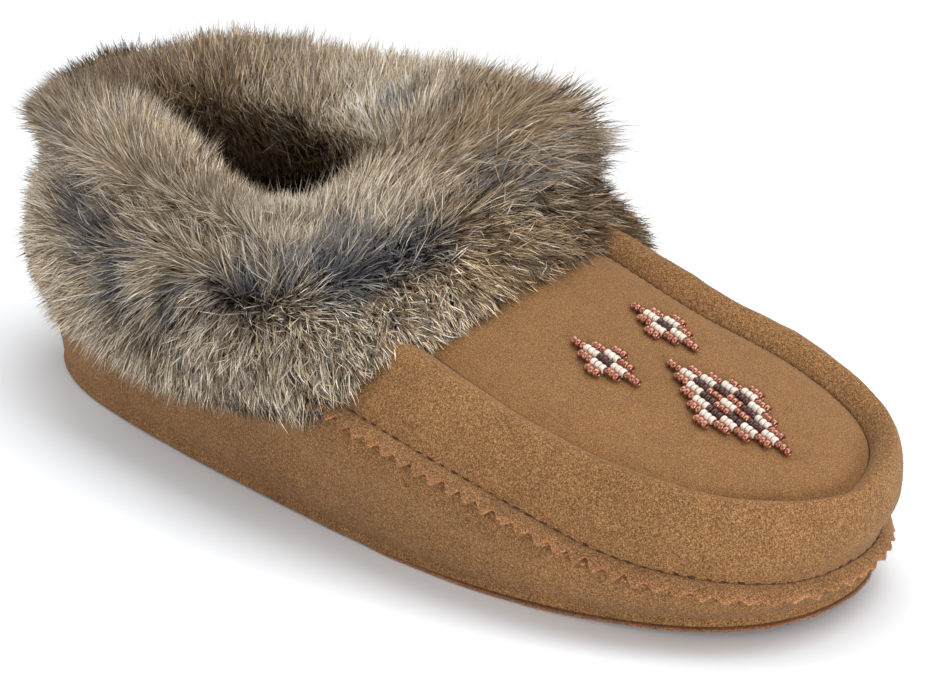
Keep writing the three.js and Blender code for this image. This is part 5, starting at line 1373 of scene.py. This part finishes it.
def kind_weights(p, v, wool):
    big, mid = noise(p, 30, 91), noise(p, 12, 92)
    dye_and_light = dye_and_painted_light_at(p)
    # painted shade: browner and darker deep inside the opening
    deep_inside_shade = ramp(9.8, 10.8, v)
    cream = 0.75 + 0.35 * big + 0.25 * mid + dye_and_light[:, 0] - 0.6 * deep_inside_shade
    tan = 0.35 - 0.20 * big + dye_and_light[:, 1]
    brown = 0.28 - 0.20 * big - 0.15 * mid + dye_and_light[:, 2] + 0.5 * deep_inside_shade
    dark = 0.14 + 0.10 * mid + dye_and_light[:, 3] + 0.25 * deep_inside_shade + (0.20 + 0.5 * ramp(130, 148, p[:, 0])) * (1 - ramp(0.4, 1.6, v))
    bare = bare_at(p)
    if wool:
        slate = 0.12 + 2.6 * bare + 0.25 * ramp(0.2, 0.7, mid) * np.exp(-((v - 3.3) / 1.2) ** 2)
        w = np.stack([np.clip(cream, 0, None), np.clip(tan, 0, None) * 0.9, np.clip(brown, 0, None) + 0.9 * np.clip(dark, 0, None), slate], 1)
        w = w ** 1.6
    else:
        w = np.stack([cream, tan, brown, dark, 0.15 + 0.8 * bare], 1)
    return np.clip(w, 0.02, None), bare


def build_hair(name, count, density, length, width, segs, mat, wool=False, lift=(0.85, 0.28), fuzz=0.25, seed=0, clump=(0.5, 0.3), jit=0.20, tips=False, pale=False):
    iu, iv = scatter(int(count * (1.0 if wool else 1.12)), density)
    v = iv / (NV - 1) * VMAX
    root = bilinear(ROOTS, iu, iv)
    if not wool:
        keep = RNG.random(len(iu)) > 0.86 * bare_at(bilinear(SURF, iu, iv))
        iu, iv, v, root = iu[keep][:count], iv[keep][:count], v[keep][:count], root[keep][:count]
    count = len(iu)
    skin = bilinear(SURF, iu, iv)
    nrm = unit(bilinear(N_SURF, iu, iv))
    turn = TURN_F[np.mod(np.floor(iu).astype(int), NU)]
    d0, d1, flow = hair_dirs(skin, nrm, v, *lift)
    ln = np.interp(v, [0, 1, 2, 3, 4, 5, 6, 7, 8, 9, 10, 11], length)
    wing = np.exp(-((turn - 30) / 20) ** 2) * ramp(3, 4.5, v) * (1 - ramp(7, 8.5, v))
    ln = ln * (1 + 0.55 * wing)
    for x, y, z, r, _, less in FLAT:
        ln = ln * (1 - less * near(x, y, z, r, skin))
    ln = ln * (1 + 0.14 * noise(root, 12, 85 + seed)) * RNG.uniform(0.70, 1.12, count)
    root_shift = 0
    for size, spread, pull, reach in ((0.010, 0.28, clump[1], 4.0), (0.07, 0.20, clump[0], 2.0)):
        k = max(50, int(count * size))
        cu, cv = scatter(k, density)
        centre = bilinear(ROOTS, cu, cv)
        who = nearest(root, centre)
        ax = unit(RNG.normal(size=(k, 3)))[who]
        ang = RNG.normal(0, spread, k)[who]
        d0, d1 = turned(d0, ax, ang * 0.7), turned(d1, ax, ang)
        shift = (centre[who] - root)
        shift = shift - nrm * (shift * nrm).sum(1, keepdims=True)
        far = np.linalg.norm(shift, axis=1, keepdims=True)
        root_shift = root_shift + shift * np.minimum(1, reach / np.maximum(far, 1e-6)) * pull
    cross = np.exp(-((v - 3.6) / 1.1) ** 2)
    ang = RNG.normal(0, 1, count) * (fuzz + 0.22 * cross)
    ax = unit(RNG.normal(size=(count, 3)))
    d0, d1 = turned(d0, ax, ang), turned(d1, ax, ang * 1.25)
    stray = np.where(RNG.random(count) < 0.09, RNG.normal(0, 0.55, count), 0)
    d1 = turned(d1, unit(RNG.normal(size=(count, 3))), stray)
    for d in (d0, d1):
        d += nrm * np.maximum(0, 0.10 - (d * nrm).sum(1))[:, None]
    d0, d1 = unit(d0), unit(d1)
    t = np.linspace(0, 1, segs + 1)
    pts = [root]
    for a in range(segs):
        tm = (t[a] + t[a + 1]) / 2
        pts.append(pts[-1] + unit(mix(d0, d1, min(1.0, tm * 1.4))) * (ln / segs)[:, None])
    pts = np.stack(pts, 1)
    pts += root_shift[:, None] * (t ** 1.5)[None, :, None]
    # nothing stands above the height the fur may take
    high = pts[:, -1, 2]
    low = pts[:, :1, 2]
    shrink = np.where(high > TOP_Z, (TOP_Z - low[:, 0]) / np.maximum(high - low[:, 0], 1e-6), 1.0)
    far = pts[:, -1, 1]
    base = pts[:, 0, 1]
    shrink = np.minimum(shrink, np.where(far > SIDE_Y, (SIDE_Y - base) / np.maximum(far - base, 1e-6), 1.0))
    pts = pts[:, :1] + (pts - pts[:, :1]) * shrink[:, None, None]
    tan = unit(np.gradient(pts, axis=1))
    across = unit(np.cross(tan, nrm[:, None] + 0 * pts))
    roll = RNG.normal(0, 0.45, count)
    lift2 = np.cross(across, tan)
    across = across * np.cos(roll)[:, None, None] + lift2 * np.sin(roll)[:, None, None]
    w = width * RNG.uniform(0.75, 1.25, count)
    taper = np.interp(t, [0, 0.15, 0.6, 0.85, 1.0], [0.9, 1.0, 0.85, 0.5, 0.12])
    half = 0.5 * w[:, None] * taper[None]
    lft, rgt = pts + across * half[..., None], pts - across * half[..., None]
    per = 2 * segs + 1
    verts = np.empty((count, per, 3))
    shade = np.empty((count, per, 3))
    # soft shading: mostly the skin's own direction, a little the hair's
    round_n = unit(nrm[:, None] * 1.0 + np.cross(across, tan) * np.sign((np.cross(across, tan) * nrm[:, None]).sum(-1, keepdims=True)) * 0.5 + tan * 0.15)
    round_n = unit(round_n + np.array([0, 0, 1.1]) * ramp(7.8, 9.0, v)[:, None, None])
    for a in range(segs):
        verts[:, 2 * a], verts[:, 2 * a + 1] = lft[:, a], rgt[:, a]
        shade[:, 2 * a], shade[:, 2 * a + 1] = round_n[:, a], round_n[:, a]
    verts[:, -1] = pts[:, -1]
    shade[:, -1] = round_n[:, -1]
    f = []
    for a in range(segs - 1):
        f += [(2 * a, 2 * a + 1, 2 * a + 3), (2 * a, 2 * a + 3, 2 * a + 2)]
    f.append((2 * segs - 2, 2 * segs - 1, 2 * segs))
    f = np.array(f)
    e1, e2 = verts[:, f[0][1]] - verts[:, f[0][0]], verts[:, f[0][2]] - verts[:, f[0][0]]
    wrong = (np.cross(e1, e2) * nrm).sum(1) < 0
    ff = np.where(wrong[:, None, None], f[None, :, ::-1], f[None])
    faces = (np.arange(count)[:, None, None] * per + ff).reshape(-1, 3)
    # colour
    wgt, bare = kind_weights(skin, v, wool)
    names = WOOL if wool else GUARD
    table = np.array([TONES[k] for k in names])
    at = np.append(np.repeat(t[:-1], 2), 1.0) * 4
    i0 = np.minimum(at.astype(int), 3)
    fr = (at - i0)[None, :, None]
    if wool:        # the undercoat changes smoothly from place to place
        wn = wgt / wgt.sum(1, keepdims=True)
        tone = np.einsum("nk,kjc->njc", wn, table)
    else:
        cum = np.cumsum(wgt, 1) / wgt.sum(1, keepdims=True)
        kind = (RNG.random(count)[:, None] > cum).sum(1).clip(0, len(names) - 1)
        tone = table[kind]
        if pale:
            tone = table[np.zeros(count, int)] * 1.12
        if tips:
            tone = tone * np.array([0.8, 0.8, 0.8, 0.55, 0.35])[None, :, None]
    col = tone[:, i0] * (1 - fr) + tone[:, i0 + 1] * fr
    hang = 1 - ramp(2.4, 3.8, v)
    jit_v = np.exp(RNG.normal(0, 1, count) * jit * (1 + 0.6 * hang))[:, None, None] * (1 + hang * (-0.30 if wool else 0.08))[:, None, None]
    patch = (1 + 0.14 * noise(root, 14, 95) + 0.08 * noise(root, 5, 96))[:, None, None]
    # painted shade: hair darker deep inside the opening
    deep = 1 - 0.35 * ramp(9.2, 10.8, v)[:, None, None]
    dim = 1 - bare[:, None, None] * np.array([0.46, 0.41, 0.33])
    col = np.clip(col * jit_v * patch * deep * dim * shade_at(skin)[:, None], 0, 1)
    if pale:
        col = col / dim
    make(name, verts, faces, [mat], color=np.clip(col, 0, 1).reshape(-1, 3), smooth=True, normals=shade)


TOP_Z, SIDE_Y = 99.4, 65.4
_even = np.interp(V_AT, [0, 1, 7, 8.5, 10, 11], [1.0, 1.0, 1.0, 1.0, 0.85, 0.6])
_low = _even * np.interp(V_AT, [0, 0.3, 4.0, 4.8], [1, 1, 1, 0])
_high = _even * np.interp(V_AT, [3.4, 4.2, 11], [0, 1, 1])
LEN = [5.8, 8.4, 10.2, 11.0, 11.2, 11.2, 10.4, 9.6, 9.6, 9.6, 9.2, 8.4]
LOWER, UPPER = [v * 0.80 for v in LEN], [v * 1.15 for v in LEN]
build_hair("fur_wool_low", 24000, _low, LOWER, 0.55, 2, M_WOOL, wool=True, lift=(1.1, 0.5), fuzz=0.30, clump=(0.35, 0.2), seed=1, jit=0.07)
build_hair("fur_wool_high", 30000, _high, LOWER, 0.55, 2, M_WOOL, wool=True, lift=(1.1, 0.5), fuzz=0.30, clump=(0.35, 0.2), seed=2, jit=0.07)
build_hair("fur_guard_low_a", 22000, _low, LEN, 0.25, 3, M_HAIR, seed=3, fuzz=0.30)
build_hair("fur_guard_low_b", 16000, _low, UPPER, 0.20, 3, M_HAIR, seed=4, fuzz=0.38)
build_hair("fur_guard_high_a", 27000, _high, LEN, 0.25, 3, M_HAIR, seed=5, fuzz=0.29)
build_hair("fur_guard_high_b", 20000, _high, UPPER, 0.20, 3, M_HAIR, seed=6, fuzz=0.37)


_tall = _even * np.interp(V_AT, [4.6, 5.6, 8.2, 9.0], [0, 1, 1, 0])
build_hair("fur_long", 4800, _tall, [v * 1.6 for v in LEN], 0.10, 3, M_HAIR, seed=7, fuzz=0.24, clump=(0.3, 0.15), lift=(0.95, 0.5), tips=True)

_over = _even * np.interp(V_AT, [0.6, 1.6, 7.6, 8.4], [0, 1, 1, 0]) * (0.5 + np.exp(-((V_AT - 3.6) / 1.4) ** 2))
build_hair("fur_stray", 4000, _over, [v * 1.15 for v in LEN], 0.15, 3, M_HAIR, seed=8, fuzz=0.62, clump=(0.0, 0.0), lift=(0.8, 0.42), pale=True)


# ---------------------------------------------------------------- suede fibres
def build_nap():
    """Short fibres standing off the suede, seen along its outlines."""
    u, out, inn, no, ni = upper_grids(360, [10, 10, 12, 12, 10], [1, 1, 1, 1, 1])
    n, m = out.shape[:2]
    count = 50000
    du = np.linalg.norm(np.roll(out, -1, 0) - out, axis=-1)[:, :-1]
    dv = np.linalg.norm(np.diff(out, axis=1), axis=-1)
    keep = (0.25 + 0.75 * throatAt(u))[:, None] + 0 * du
    keep = np.where(out[:, :-1, 2] < 24, 1.0, keep)
    area = (du * dv * keep)
    flat = (area / area.sum()).ravel()
    pick = RNG.choice(len(flat), count, p=flat)
    i, j = pick // (m - 1), pick % (m - 1)
    s, t = RNG.random(count)[:, None], RNG.random(count)[:, None]
    i2 = (i + 1) % n

    def at(g):
        return g[i, j] * (1 - s) * (1 - t) + g[i2, j] * s * (1 - t) + g[i, j + 1] * (1 - s) * t + g[i2, j + 1] * s * t
    nrm = unit(at(no))
    p = creased(at(out), nrm) - nrm * 0.15
    lay = unit(np.cross(nrm, RNG.normal(size=(count, 3))))
    d = unit(nrm * RNG.uniform(0.5, 1.3, count)[:, None] + lay)
    ln = RNG.uniform(0.30, 0.75, count)[:, None]
    w = RNG.uniform(0.04, 0.075, count)[:, None]
    ac = unit(np.cross(d, nrm + 0.3 * RNG.normal(size=(count, 3))))
    v = np.stack([p - ac * w, p + ac * w, p + d * ln], 1)
    col = np.array([0.225, 0.118, 0.048]) * RNG.uniform(0.75, 1.3, count)[:, None]
    # and along the raw edges of the flange
    ep = np.concatenate([a for a, _ in RAW_EDGE])
    ed = np.concatenate([a for _, a in RAW_EDGE])
    k = RNG.integers(0, len(ep), 9000)
    base = ep[k] + RNG.normal(0, 0.12, (9000, 3)) - ed[k] * 0.15
    d = unit(ed[k] + 0.9 * RNG.normal(size=(9000, 3)))
    ac = unit(np.cross(d, RNG.normal(size=(9000, 3)))) * RNG.uniform(0.04, 0.07, 9000)[:, None]
    v = np.concatenate([v, np.stack([base - ac, base + ac, base + d * RNG.uniform(0.25, 0.65, 9000)[:, None]], 1)])
    col = np.concatenate([col, np.array([0.290, 0.165, 0.085]) * RNG.uniform(0.7, 1.3, 9000)[:, None]])
    v[..., 2] = np.maximum(v[..., 2], 0.03)
    col = np.repeat(col, 3, 0)
    make("suede_fibres", v, np.arange(v.shape[0] * 3).reshape(-1, 3), [M_NAP], color=np.clip(col, 0, 1), smooth=False)


build_nap()
